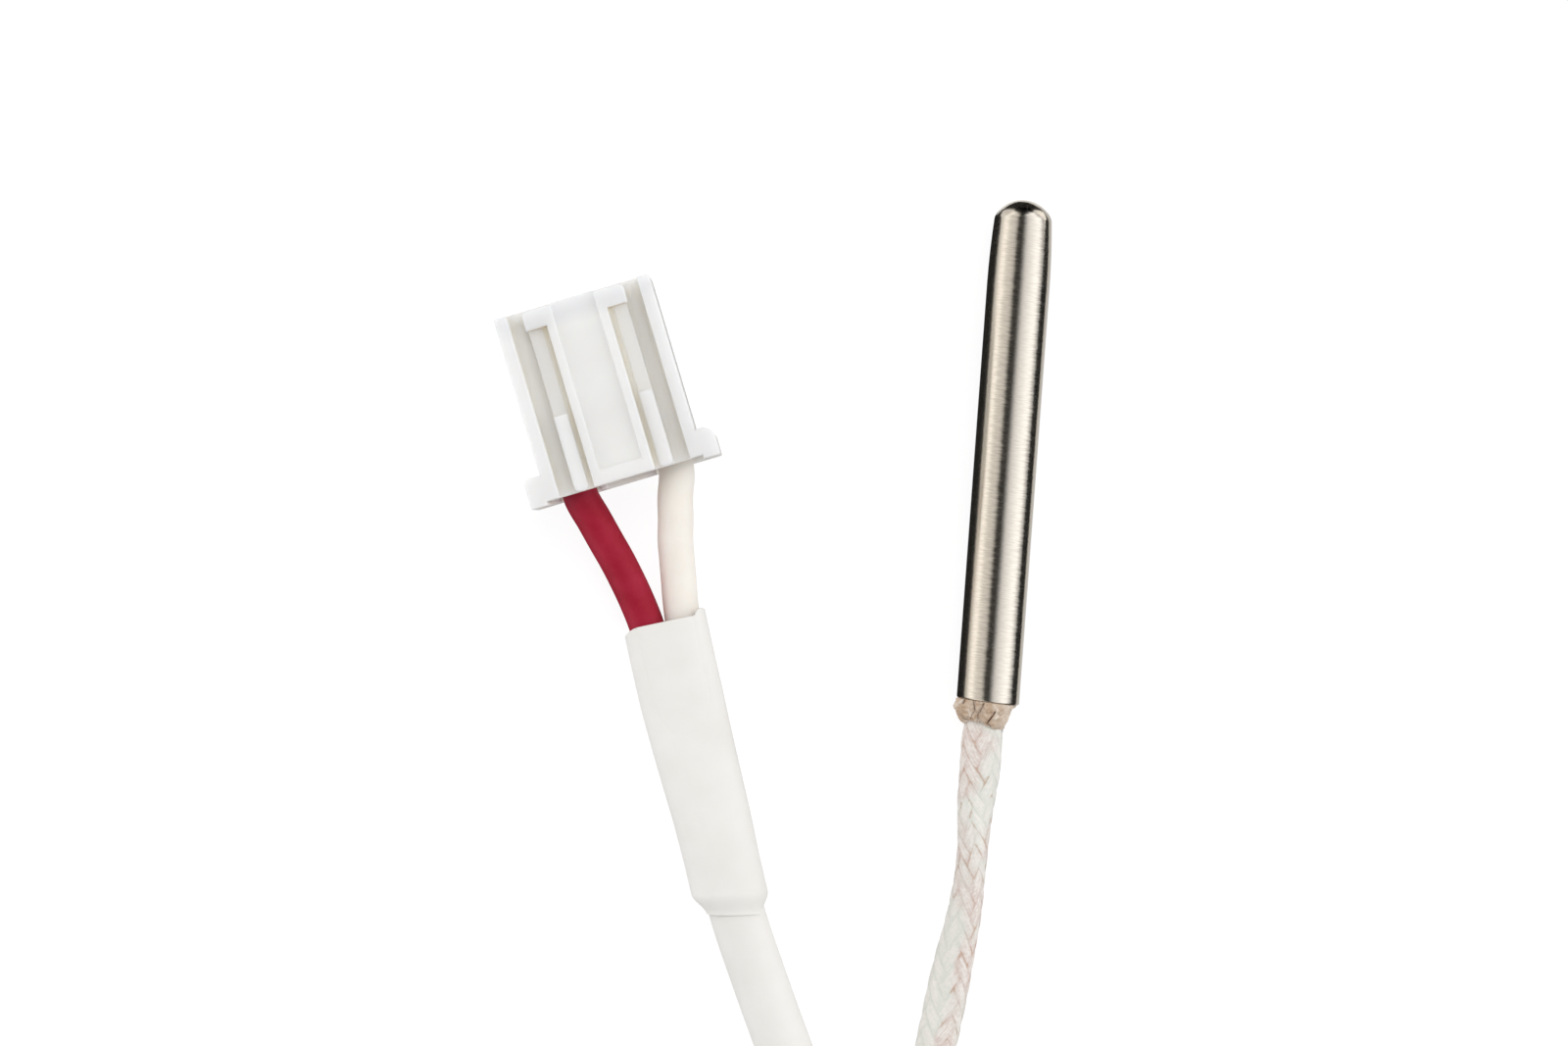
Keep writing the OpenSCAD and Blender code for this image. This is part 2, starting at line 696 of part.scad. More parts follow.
// Pieces laid along the line from point a to point b
module laid(a, b) {
    d = b - a;
    translate(a) rotate([0, acos(d[2] / norm(d)), atan2(d[1], d[0])]) children();
}

splice_from = bare_from + slip;
splice_to = splice_from + splice_len;
core_in = 0.4 * splice_len;
module splice(side) {
    a = in_sleeve(side, splice_from);
    b = in_sleeve(side, splice_to);
    color(tinned) laid(a, b) difference() {
        cylinder(d = splice_d, h = splice_len, $fn = 48);
        translate([0, 0, -1]) cylinder(d = conductor_d + 2 * slip, h = splice_len / 2 + 1, $fn = 32);
        translate([0, 0, splice_len - core_in]) cylinder(d = core_d + 2 * slip, h = splice_len, $fn = 32);
        crimp_dents(splice_d, splice_len);
    }
}
module splice_red() splice(red_side);
module splice_white() splice(white_side);

module core_tail(side) {
    last = plug_route[len(plug_route) - 1];
    on = heading(plug_route, len(plug_route) - 1);
    across = unit(cross([0, 0, 1], on));
    start = last + on * slip - across * side * core_pitch / 2;
    straight = core_d / 2;
    route = [
        start, start + on * straight,
        in_sleeve(side, splice_to + straight), in_sleeve(side, splice_to - core_in + straight),
    ];
    color(side == red_side ? red : cream) rod(rings(route, same(oval(core_d, core_d, lead_sides), route)));
}
module core_tail_red() core_tail(red_side);
module core_tail_white() core_tail(white_side);

// Receptacle contact: box with its spring and latch, and a strip with the two grips
module contact(side) {
    color(tinned) at_plug() translate([way_x(side), 0, 0]) {
        contact_box();
        contact_spring();
        contact_latch();
        contact_strip();
    }
}

box_low = way_z - box_h / 2;
strip_z = way_z - gripped_d / 2 - contact_t - snug;
module side_profile(w) translate([-w / 2, 0, 0]) rotate([90, 0, 90]) linear_extrude(w) children();
module end_profile(to, length)
    translate([0, to, way_z]) rotate([90, 0, 0]) linear_extrude(length) children();

module contact_box() {
    inner_w = box_w - 2 * contact_t;
    inner_h = box_h - 2 * contact_t;
    difference() {
        translate([-box_w / 2, box_from, box_low]) cube([box_w, box_len, box_h]);
        translate([-inner_w / 2, box_from - 1, way_z - inner_h / 2]) cube([inner_w, box_len + 2, inner_h]);
    }
}

// The spring stands on the box's floor, its crest a third of the way in from the mating end
module contact_spring() {
    floor_z = box_low + contact_t;
    side_profile(spring_w) polygon([
        [box_from + box_len / 10, floor_z - tiny], [box_to - box_len / 10, floor_z - tiny],
        [box_to - box_len * 0.3, floor_z + spring_h], [box_to - box_len * 0.4, floor_z + spring_h],
    ]);
}

module contact_latch() {
    side_profile(lance_w) polygon([
        [box_from, box_low - lance_out], [box_from + contact_t / 2, box_low - lance_out],
        [box_from + lance_len, box_low - tiny], [box_from + lance_len, box_low + contact_t / 2],
        [box_from, box_low - lance_out + contact_t],
    ]);
}

module contact_strip() {
    side_profile(strip_w) {
        translate([contact_in, strip_z]) square([box_from + contact_t - contact_in, contact_t]);
        translate([box_from, min(strip_z, box_low)]) square([contact_t, abs(strip_z - box_low) + contact_t]);
    }
    end_profile(wire_grip_to, wire_grip_len) grip_outline(gripped_d);
    end_profile(strand_grip_to, strand_grip_len) {
        grip_outline(conductor_d);
        translate([-contact_t / 2, strip_z - way_z])
            square([contact_t, way_z - conductor_d / 2 - strip_z - snug]);
    }
}

// A rolled strip round something of diameter d, open by a narrow seam on top
module grip_outline(d) {
    inner = d + 2 * snug;
    difference() {
        circle(d = inner + 2 * contact_t, $fn = 48);
        circle(d = inner, $fn = 48);
        translate([-contact_t / 4, 0]) square([contact_t / 2, d]);
    }
}
module contact_red() contact(red_side);
module contact_white() contact(white_side);

// A rectangle with its first corner at the origin and its far corners rounded
module rounded(w, h, r_near, r_far) {
    square([w, h - max(r_near, r_far)]);
    translate([r_near, 0]) square([w - r_near - r_far, h]);
    translate([r_near, h - r_near]) circle(r_near, $fn = 32);
    translate([w - r_far, h - r_far]) circle(r_far, $fn = 48);
}

// Outline of the housing seen from the front, wire end at y = 0
module body_outline() {
    translate([-body_w / 2, 0]) rounded(body_w, plug_len, corner_r, corner_r);
    translate([-body_w / 2 - ear_out, 0]) ear_outline(ear_r_left);
    translate([body_w / 2 + ear_out, 0]) mirror([1, 0]) ear_outline(ear_r_right);
}

module ear_outline(r) {
    square([body_w / 2, ear_len - r]);
    translate([r, 0]) square([body_w / 2 - r, ear_len]);
    translate([r, ear_len - r]) circle(r, $fn = 48);
}
module flipped(s) mirror([s < 0 ? 1 : 0, 0]) children();

// Everything on the front stands on the floor of the channels
front_z = plug_t - channel_drop;
front_y = front_back;
rib_to = panel_half + rib_w;
key_wall_from = rib_to + slot_w;
key_out = key_wall_from + key_wall_w;
channel_to = body_w / 2 - side_wall_w;
cap_from = plug_len - cap_len;
bury = 0.1;
module raised(top) translate([0, 0, front_z - bury]) linear_extrude(top - front_z + bury) children();

module side_walls() {
    raised(plug_t - side_wall_drop) difference() {
        body_outline();
        translate([-channel_to, -1]) square([2 * channel_to, plug_len + 2]);
    }
}

// One key: a full rib, a cap at the mating end, a slot, and an outer wall with a raised stretch
module key() {
    raised(plug_t) {
        translate([panel_half, front_y]) square([rib_w, plug_len - cap_set - front_y]);
        translate([panel_half, cap_from])
            rounded(key_out + cap_over - panel_half, cap_len - cap_set, key_r, key_r);
        translate([panel_half, cap_from]) square([rib_w, cap_len - cap_set]);
        translate([key_wall_from, cap_from]) square([key_wall_w + cap_over, key_r]);
    }
    raised(plug_t - slot_drop) translate([rib_to, front_y])
        square([slot_w, cap_from + bury - front_y]);
    raised(plug_t - key_low) translate([key_wall_from, front_y])
        square([key_wall_w, cap_from + bury - front_y]);
    grip_stretch();
}

// It is level along its outer edge, falls towards the slot, and is rounded at the wire end
module grip_stretch() {
    top = plug_t - side_wall_drop / 2;
    intersection() {
        translate([0, front_y + grip_len, 0]) rotate([90, 0, 0]) linear_extrude(grip_len) polygon([
            [key_wall_from, front_z - bury], [key_wall_from, top - grip_fall],
            [key_out - grip_flat, top], [key_out, top], [key_out, front_z - bury],
        ]);
        raised(plug_t) translate([key_wall_from, front_y + grip_len]) mirror([0, 1])
            rounded(key_wall_w, grip_len, key_r, key_r);
    }
}

// The bar that joins the two ribs at the wire end
module rib_bar() {
    raised(plug_t) translate([-rib_to, front_y + bar_len]) mirror([0, 1])
        rounded(2 * rib_to, bar_len, key_r, key_r / 2);
}

module plug_housing() {
    color(nylon) at_plug() difference() {
        union() {
            linear_extrude(front_z) body_outline();
            side_walls();
            raised(plug_t - panel_drop) translate([-panel_half, front_y])
                square([2 * panel_half, plug_len - front_y]);
            for (s = [-1, 1]) flipped(s) key();
            rib_bar();
        }
        translate([-body_w / 2, -1, way_z]) cube([body_w, 1 + front_back, plug_t]);
        for (i = [0:ways - 1]) translate([(i - (ways - 1) / 2) * way_pitch, 0, 0]) way_space();
    }
}

module way_space() {
    translate([-way_w / 2, -1, back_wall]) cube([way_w, plug_len - mating_wall + 1, way_h]);
    translate([-pin_hole / 2, 0, way_z - pin_hole / 2]) cube([pin_hole, plug_len + 1, pin_hole]);
    translate([0, plug_len - pin_funnel, way_z]) funnel();
    translate([-window_w / 2, box_from - window_before, -1]) cube([window_w, window_len, back_wall + 2]);
}

// Four sloping faces that lead a pin into its hole
module funnel() {
    wide = pin_hole / 2 + pin_funnel;
    long = 2 * wide;
    intersection() {
        rotate([90, 0, 90]) linear_extrude(long, center = true) polygon([
            [0, -pin_hole / 2], [pin_funnel, -wide], [pin_funnel + 1, -wide],
            [pin_funnel + 1, wide], [pin_funnel, wide], [0, pin_hole / 2],
        ]);
        linear_extrude(long, center = true) polygon([
            [-pin_hole / 2, 0], [-wide, pin_funnel], [-wide, pin_funnel + 1],
            [wide, pin_funnel + 1], [wide, pin_funnel], [pin_hole / 2, 0],
        ]);
    }
}

sheath();
liner_tube();
tip_filler();
element_chip();
platinum_track();
glass_cover();
lead_bead();
element_lead_red();
element_lead_white();
ferrule_red();
ferrule_white();
joint_sleeve_red();
joint_sleeve_white();
core_red();
core_white();
core_strands_red();
core_strands_white();
braid_end();
potting_plug();
lead_run_probe();
lead_coil();
coil_tie();
lead_run_plug();
narrow_sleeve();
wide_sleeve();
core_tail_red();
core_tail_white();
splice_red();
splice_white();
wire_red();
wire_white();
conductor_red();
conductor_white();
contact_red();
contact_white();
plug_housing();
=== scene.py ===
"""A steel temperature probe, its braided lead and its plug, dressed over their fixed frame."""

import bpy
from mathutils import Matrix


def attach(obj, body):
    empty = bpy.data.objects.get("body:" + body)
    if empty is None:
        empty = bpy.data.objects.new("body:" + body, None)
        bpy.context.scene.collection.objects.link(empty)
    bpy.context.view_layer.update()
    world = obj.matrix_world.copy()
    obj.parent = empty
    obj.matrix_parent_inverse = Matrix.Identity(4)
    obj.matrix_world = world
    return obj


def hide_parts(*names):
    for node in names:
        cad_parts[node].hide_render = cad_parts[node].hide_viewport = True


bl_info = {
    "name": "Temperature probe with a braided lead",
    "version": (1, 0, 0),
    "blender": (4, 5, 0),
    "location": "3D View > Sidebar > Probe",
    "description": "Makes the looks of a steel temperature probe, its braided lead and its plug",
    "category": "Object",
}

import math

import bmesh
import bpy
import numpy as np
from bpy.props import FloatProperty, FloatVectorProperty, PointerProperty
from mathutils import Matrix, Vector, noise

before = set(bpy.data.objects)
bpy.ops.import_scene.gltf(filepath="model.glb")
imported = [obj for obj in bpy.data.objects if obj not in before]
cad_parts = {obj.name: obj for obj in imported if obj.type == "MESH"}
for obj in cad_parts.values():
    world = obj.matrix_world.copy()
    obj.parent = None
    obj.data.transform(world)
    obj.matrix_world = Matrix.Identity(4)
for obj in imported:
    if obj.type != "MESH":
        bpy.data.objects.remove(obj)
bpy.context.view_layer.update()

MM = 0.001

# The head lies centred on the origin, and the sheath's mouth is this far along Y
MOUTH_Y = -11.95
AXIS_Z = 1.5875
SHEATH_R = 1.5875
SHEATH_LEN = 25.4
POTTING_OUT = 1.5
# How much further back the tube's left edge was cut than its middle, for each millimetre across
TUBE_ASKEW = 0.06

# What the camera sees: the middle of the picture on the object, and the picture's turn and width there
VIEW_MIDDLE = (-10.94, -3.71, 1.6)
VIEW_UP = (-0.0732, 0.9973, 0.0)
VIEW_WIDTH = 79.29
CAMERA_HEIGHT = 220.0
SENSOR = 36.0

# Route of the lead from the potting to the coil, across and along from the mouth, and height
PROBE_ROUTE = [
    (0, -1.5, 1.5875), (-0.1, -3, 1.5), (-0.2, -5, 1.25), (-0.2, -8, 1.05), (-0.4, -11, 1.05),
    (-0.7, -13, 1.05), (-1.1, -16, 1.05), (-1.5, -19, 1.05), (-1.7, -22, 1.05), (-1.5, -25, 1.05),
    (-0.8, -28, 1.05), (0.5, -30.7, 1.05), (2.4, -33, 1.05),
]
# Route of the lead from the coil's top layer to its end in the wide sleeve
PLUG_ROUTE = [
    (-15.2, -37.7, 7.3), (-14.6, -34.8, 6.7), (-13.4, -32.5, 5.5), (-11.9, -30.7, 4.1), (-10.3, -29, 2.6),
    (-8.6, -27.2, 1.5), (-7.6, -25, 1.1), (-7.4, -23, 1.2), (-7.8, -21, 1.4), (-8.65, -19, 1.42),
    (-9.55, -17, 1.42), (-10.65, -14.5, 1.45), (-11.5, -12.5, 1.6), (-12.15, -10.8, 1.75),
    (-12.9, -8.7, 1.75),
]
NARROW_FROM = 8
# Distance between the points that the lead's path is given by
PATH_STEP = 0.3
WIDE_LINE = [
    (-16.6, 2.8), (-16.1, 1.1), (-15.45, -1), (-14.8, -3), (-14.15, -4.9),
    (-13.5, -6.8), (-12.9, -8.7), (-12.35, -10.45), (-12.2, -10.9),
]
RED_BEND = [(-18.1, 3.8, 1.35), (-18.65, 4.8, 1.55), (-19.25, 5.8, 1.8), (-19.85, 6.7, 2), (-20.5, 7.7, 2.2)]
WHITE_BEND = [
    (-15.9, 4, 1.3), (-16.05, 5, 1.45), (-16.2, 6, 1.65), (-16.35, 7, 1.9), (-16.4, 8, 2.1),
    (-16.5, 9, 2.25),
]

# The coil: its middle, its turns, its layers, and the angles at which the lead joins and leaves it
COIL_MIDDLE = (-3.0, -48.0)
COIL_OUTER = 14.88
COIL_LAYERS = 4
COIL_FROM = 45.0
COIL_TURN = 4560.0
COIL_STEP = 15.0
LAYER_RISE = 2.1
LAYER_HOP = 30.0
TIE_ANGLE = 270.0
TIE_REACH = 16.0
TIE_PINCH = 0.12

# The plug housing: middle of its wire side, its turn, and the height of its ways
PLUG_X, PLUG_Y, PLUG_TURN = -18.9, 9.7, math.radians(20.8)
WAY_PITCH = 2.5
WAY_Z = 2.3
CAP_FROM = 8.55
KEY_TOP = 5.6


def linear(code):
    """An sRGB hex code as a linear colour with full opacity."""
    values = [int(code[i:i + 2], 16) / 255 for i in (1, 3, 5)]
    return [v / 12.92 if v <= 0.04045 else ((v + 0.055) / 1.055) ** 2.4 for v in values] + [1.0]


def length(name, description, default):
    """A length in metres that can be changed."""
    return FloatProperty(
        name=name, description=description, default=default, unit="LENGTH", subtype="DISTANCE", precision=6)


def colour(name, description, code):
    """A colour that can be changed, given as an sRGB hex code."""
    return FloatVectorProperty(
        name=name, description=description, default=linear(code), subtype="COLOR", size=4)


class ProbeSizes(bpy.types.PropertyGroup):
    """Sizes that can be changed without moving the frame."""

    lead_length: length("Lead length", "Real length of the braided lead", 1.0)
    lead_width: length("Lead width", "Width of the flat braid", 0.0021)
    lead_thickness: length("Lead thickness", "Thickness of the flat braid", 0.00155)
    braid_relief: length("Braid relief", "Height of a yarn bundle over the gaps", 0.00006)
    wire_width: length("Wire width", "Outside diameter of the plug's two wires", 0.0018)
    edge_round: length("Edge rounding", "Rounding of the housing's moulded edges", 0.000045)


class ProbeColours(bpy.types.PropertyGroup):
    """Colours that a user would change."""

    steel: colour("Steel", "Reflected colour of the sheath", "#CBC2B4")
    cement: colour("Cement", "Colour of the potting", "#DDC9B4")
    yarn: colour("Yarn", "Colour of the braid", "#EDE8E2")
    red_rubber: colour("Red wire", "Colour of the red wire", "#98162C")
    white_rubber: colour("White wire", "Colour of the white wire", "#F3EEE7")
    sleeve: colour("Sleeves", "Colour of the shrink sleeves", "#F0EEEA")
    nylon: colour("Housing", "Colour of the plug housing", "#F1F1EF")


# Points, lines and meshes


def from_mouth(points):
    """Points given from the mouth in millimetres, as metres in the frame."""
    return [np.array([x, y + MOUTH_Y, z]) * MM for x, y, z in points]


def distances(line):
    """How far along the line each of its points is."""
    return np.concatenate([[0.0], np.cumsum(np.linalg.norm(np.diff(line, axis=0), axis=1))])


def points_at(at, run, line):
    """Points of the line at these distances, where its own points lie at the distances run."""
    return np.stack([np.interp(at, run, line[:, k]) for k in range(3)], axis=-1)


def smooth_line(points, spacing):
    """Evenly spaced points on one smooth line through the given ones."""
    p = np.array(points, float)
    chord = distances(p)
    slope = np.gradient(p, chord, axis=0)
    fine = [p[:1]]
    share = np.linspace(0, 1, 13)[1:, None]
    for i in range(len(p) - 1):
        h = chord[i + 1] - chord[i]
        fine.append(
            (2 * share ** 3 - 3 * share ** 2 + 1) * p[i]
            + (share ** 3 - 2 * share ** 2 + share) * h * slope[i]
            + (3 * share ** 2 - 2 * share ** 3) * p[i + 1] + (share ** 3 - share ** 2) * h * slope[i + 1])
    line = np.concatenate(fine)
    run = distances(line)
    return points_at(np.linspace(0, run[-1], max(2, round(run[-1] / spacing) + 1)), run, line)


def aheads(line):
    """Unit vectors along the line."""
    ahead = np.gradient(line, axis=0)
    return ahead / np.linalg.norm(ahead, axis=1)[:, None]


def sweep(line, sections):
    """Rings of points: each section, of widths and heights, set square to the line and level."""
    ahead = aheads(line)
    across = np.cross(ahead, (0.0, 0.0, 1.0))
    across /= np.linalg.norm(across, axis=1)[:, None]
    upright = np.cross(across, ahead)
    return line[:, None, :] + sections[:, 0, :, None] * across[:, None, :] \
        + sections[:, 1, :, None] * upright[:, None, :]


def oval(sides, square=2.0):
    """A unit oval, rounder at 2 and boxier above it, as two rows."""
    angle = 2 * math.pi * (np.arange(sides) + 0.5) / sides
    return np.stack([np.sign(way(angle)) * np.abs(way(angle)) ** (2 / square) for way in (np.cos, np.sin)])


def skin(name, parts):
    """A mesh over runs of rings. Each part is its rings, its UV reach around and its places along."""
    points, faces, uvs = [], [], []
    first = 0
    for rings, around, along in parts:
        count, sides = rings.shape[:2]
        points.append(rings.reshape(-1, 3))
        j, i = np.meshgrid(np.arange(count - 1), np.arange(sides), indexing="ij")
        k = (i + 1) % sides
        corners = [j * sides + i, j * sides + k, (j + 1) * sides + k, (j + 1) * sides + i]
        faces.append((first + np.stack(corners, axis=-1)).reshape(-1, 4))
        u = np.stack([i, i + 1, i + 1, i], axis=-1) / sides * around
        v = along[np.stack([j, j, j + 1, j + 1], axis=-1)]
        uvs.append(np.stack([u, v], axis=-1).reshape(-1, 2))
        first += count * sides
    mesh = bpy.data.meshes.new(name)
    mesh.from_pydata(np.concatenate(points).tolist(), [], np.concatenate(faces).tolist())
    layer = mesh.uv_layers.new(name="UVMap")
    layer.data.foreach_set("uv", np.concatenate(uvs).astype(np.float32).ravel())
    mesh.shade_smooth()
    mesh.update()
    return mesh


def mark(mesh, name, values):
    """Gives each point of a mesh a number that its material reads."""
    mesh.attributes.new(name, "FLOAT", "POINT").data.foreach_set("value", np.array(values, np.float32))


def put(name, mesh, material):
    """A new object with its material, in the scene."""
    mesh.materials.append(material)
    made = bpy.data.objects.new(name, mesh)
    bpy.context.scene.collection.objects.link(made)
    return made


def place(name, mesh, slot, material, *nodes):
    """Puts a mesh, or one made of runs of rings, in the scene as the piece that stands for these nodes."""
    piece = put(name, skin(name, mesh) if isinstance(mesh, list) else mesh, material)
    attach(piece, "root")
    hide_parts(*nodes)
    return piece


def finish_node(name, material):
    """Gives a piece of the frame its finish."""
    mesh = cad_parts[name].data
    mesh.materials.clear()
    mesh.materials.append(material)


def both(*parts):
    """The names of these parts of the red way and of the white one."""
    return [part + way for part in parts for way in ("_red", "_white")]


# Materials. A mix of two colours takes them as its inputs 6 and 7
RGBA = {"data_type": "RGBA"}


def add(tree, kind, settings=None, inputs=None):
    """Adds a node, with its settings, and its inputs as values or links."""
    node = tree.nodes.new("ShaderNode" + kind)
    for key, value in (settings or {}).items():
        setattr(node, key, value)
    for key, value in (inputs or {}).items():
        if isinstance(value, bpy.types.NodeSocket):
            tree.links.new(value, node.inputs[key])
        else:
            node.inputs[key].default_value = value
    return node


def build(tree, known, rows, shader=None):
    """Adds a table's nodes. A row names its answer, then gives a math operation and its terms, or a kind of
    node, its inputs and its settings. A row's name stands for its answer in the rows after it, and where it
    is also a socket's name, the answer is joined to the shader."""
    for name, kind, *terms in rows:
        if kind.isupper():
            kind, terms = "Math", (dict(enumerate(terms)), {"operation": kind})
        inputs = {k: known[term] if isinstance(term, str) else term for k, term in terms[0].items()}
        node = add(tree, kind, *terms[1:], inputs=inputs)
        known[name] = node.outputs[2 if kind == "Mix" else 0]
        if shader and name in shader.inputs:
            tree.links.new(known[name], shader.inputs[name])
    return known


def new_material(name, values):
    """An empty material, its tree and a principled shader with these values, joined to its output."""
    material = bpy.data.materials.new(name)
    material.use_nodes = True
    tree = material.node_tree
    tree.nodes.clear()
    shader = add(tree, "BsdfPrincipled", inputs=values)
    add(tree, "OutputMaterial", inputs={"Surface": shader.outputs[0]})
    return material, tree, shader


def per_mm(spacing):
    """Texture scale, in metres, at which a pattern repeats each so many millimetres."""
    return 1000.0 / spacing


def dappled(tree, shader, light, dark, patch_mm, grain_mm, bump_mm):
    """Soft patches between two colours, and a fine grain in relief. Returns what the nodes are known by."""
    return build(tree, {"where": add(tree, "TexCoord").outputs["Object"]}, (
        ("patch", "TexNoise", {"Vector": "where", "Scale": per_mm(patch_mm), "Detail": 4.0}),
        ("grain", "TexNoise", {"Vector": "where", "Scale": per_mm(grain_mm), "Detail": 4.0}),
        ("spread", "MapRange", {"Value": "patch", "From Min": 0.32, "From Max": 0.68}),
        ("Base Color", "Mix", {"Factor": "spread", 6: light, 7: linear(dark)}, RGBA),
        ("Normal", "Bump", {"Height": "grain", "Distance": bump_mm * MM}),
    ), shader)


def plain(name, light, dark, patterns, values):
    """A material of two close colours: its patterns are patch, grain and bump in millimetres."""
    material, tree, shader = new_material(name, values)
    dappled(tree, shader, light, dark, *patterns)
    return material


# How far the scratches lean the steel's surface, in radians at most
FRAY = 0.07


def ground_stainless(colours):
    """Stainless tube, turned against a belt: fine scratches round it, some aslant, fray each reflection."""
    material, tree, shader = new_material("stainless_ground", {"Metallic": 1.0})
    known = {
        "where": add(tree, "TexCoord").outputs["Object"], "faces": add(tree, "NewGeometry").outputs["Normal"]}
    # Scratch spacing along the tube and run around it in millimetres, and its slant
    for name, spacing, run, slant in (
            ("fine", 0.06, 0.6, 0.03), ("mid", 0.1, 0.5, 0.12), ("broad", 0.24, 1.1, -0.06)):
        build(tree, known, (
            ("slanted", "Mapping", {"Vector": "where", "Rotation": (0, 0, slant)}),
            ("drawn", "Mapping", {"Vector": "slanted", "Scale": (per_mm(run), per_mm(spacing), per_mm(run))}),
            (name, "TexNoise", {"Vector": "drawn", "Scale": 1.0, "Detail": 3.0}),
        ))
    # The scratches lean the surface a little to either side, around the tube
    build(tree, known, (
        ("both", "ADD", "fine", "mid"),
        ("all", "MULTIPLY_ADD", "broad", 0.3, "both"),
        ("tilt", "MULTIPLY_ADD", "all", FRAY, -1.15 * FRAY),
        ("Roughness", "MULTIPLY_ADD", "mid", 0.15, 0.11),
        ("height", "MULTIPLY_ADD", "mid", 0.5, "fine"),
        ("around", "VectorMath", {0: "faces", 1: (0, 1, 0)}, {"operation": "CROSS_PRODUCT"}),
        ("leaned", "VectorMath", {0: "around", 1: "tilt", 2: "faces"}, {"operation": "MULTIPLY_ADD"}),
        ("evened", "VectorMath", {0: "leaned"}, {"operation": "NORMALIZE"}),
        ("Normal", "Bump", {
            "Height": "height", "Distance": 0.0045 * MM, "Strength": 0.8, "Normal": "evened"}),
        ("worn", "MapRange", {"Value": "both", "From Min": 0.75, "From Max": 1.2}),
        ("Base Color", "Mix", {"Factor": "worn", 6: linear("#BDB4A7"), 7: colours.steel}, RGBA),
    ), shader)
    return material


def cast_cement(colours):
    """Ceramic cement, pressed in wet and dried: matt, grainy, pinkish beige, brown where it has cracked.
    Painted shade browns it beside the cracks and under its lip; painted light pales its right side and some
    lump faces.
    """
    material, tree, shader = new_material("cement_cast", {"Roughness": 0.85, "IOR": 1.5})
    known = dappled(tree, shader, colours.cement, "#BC9E82", 0.26, 0.07, 0.07)
    for name in ("crack", "pale"):
        known[name] = add(tree, "Attribute", {"attribute_name": name}).outputs["Fac"]
    build(tree, known, (
        ("browned", "Mix", {"Factor": "crack", 6: "Base Color", 7: linear("#4E2610")}, RGBA),
        ("Base Color", "Mix", {"Factor": "pale", 6: "browned", 7: linear("#F1E7DB")}, RGBA),
    ), shader)
    return material


# The braid has this many bundles of yarn each way round it, and each crossing repeats at this length
BUNDLES = 8
CROSSING = 1.25


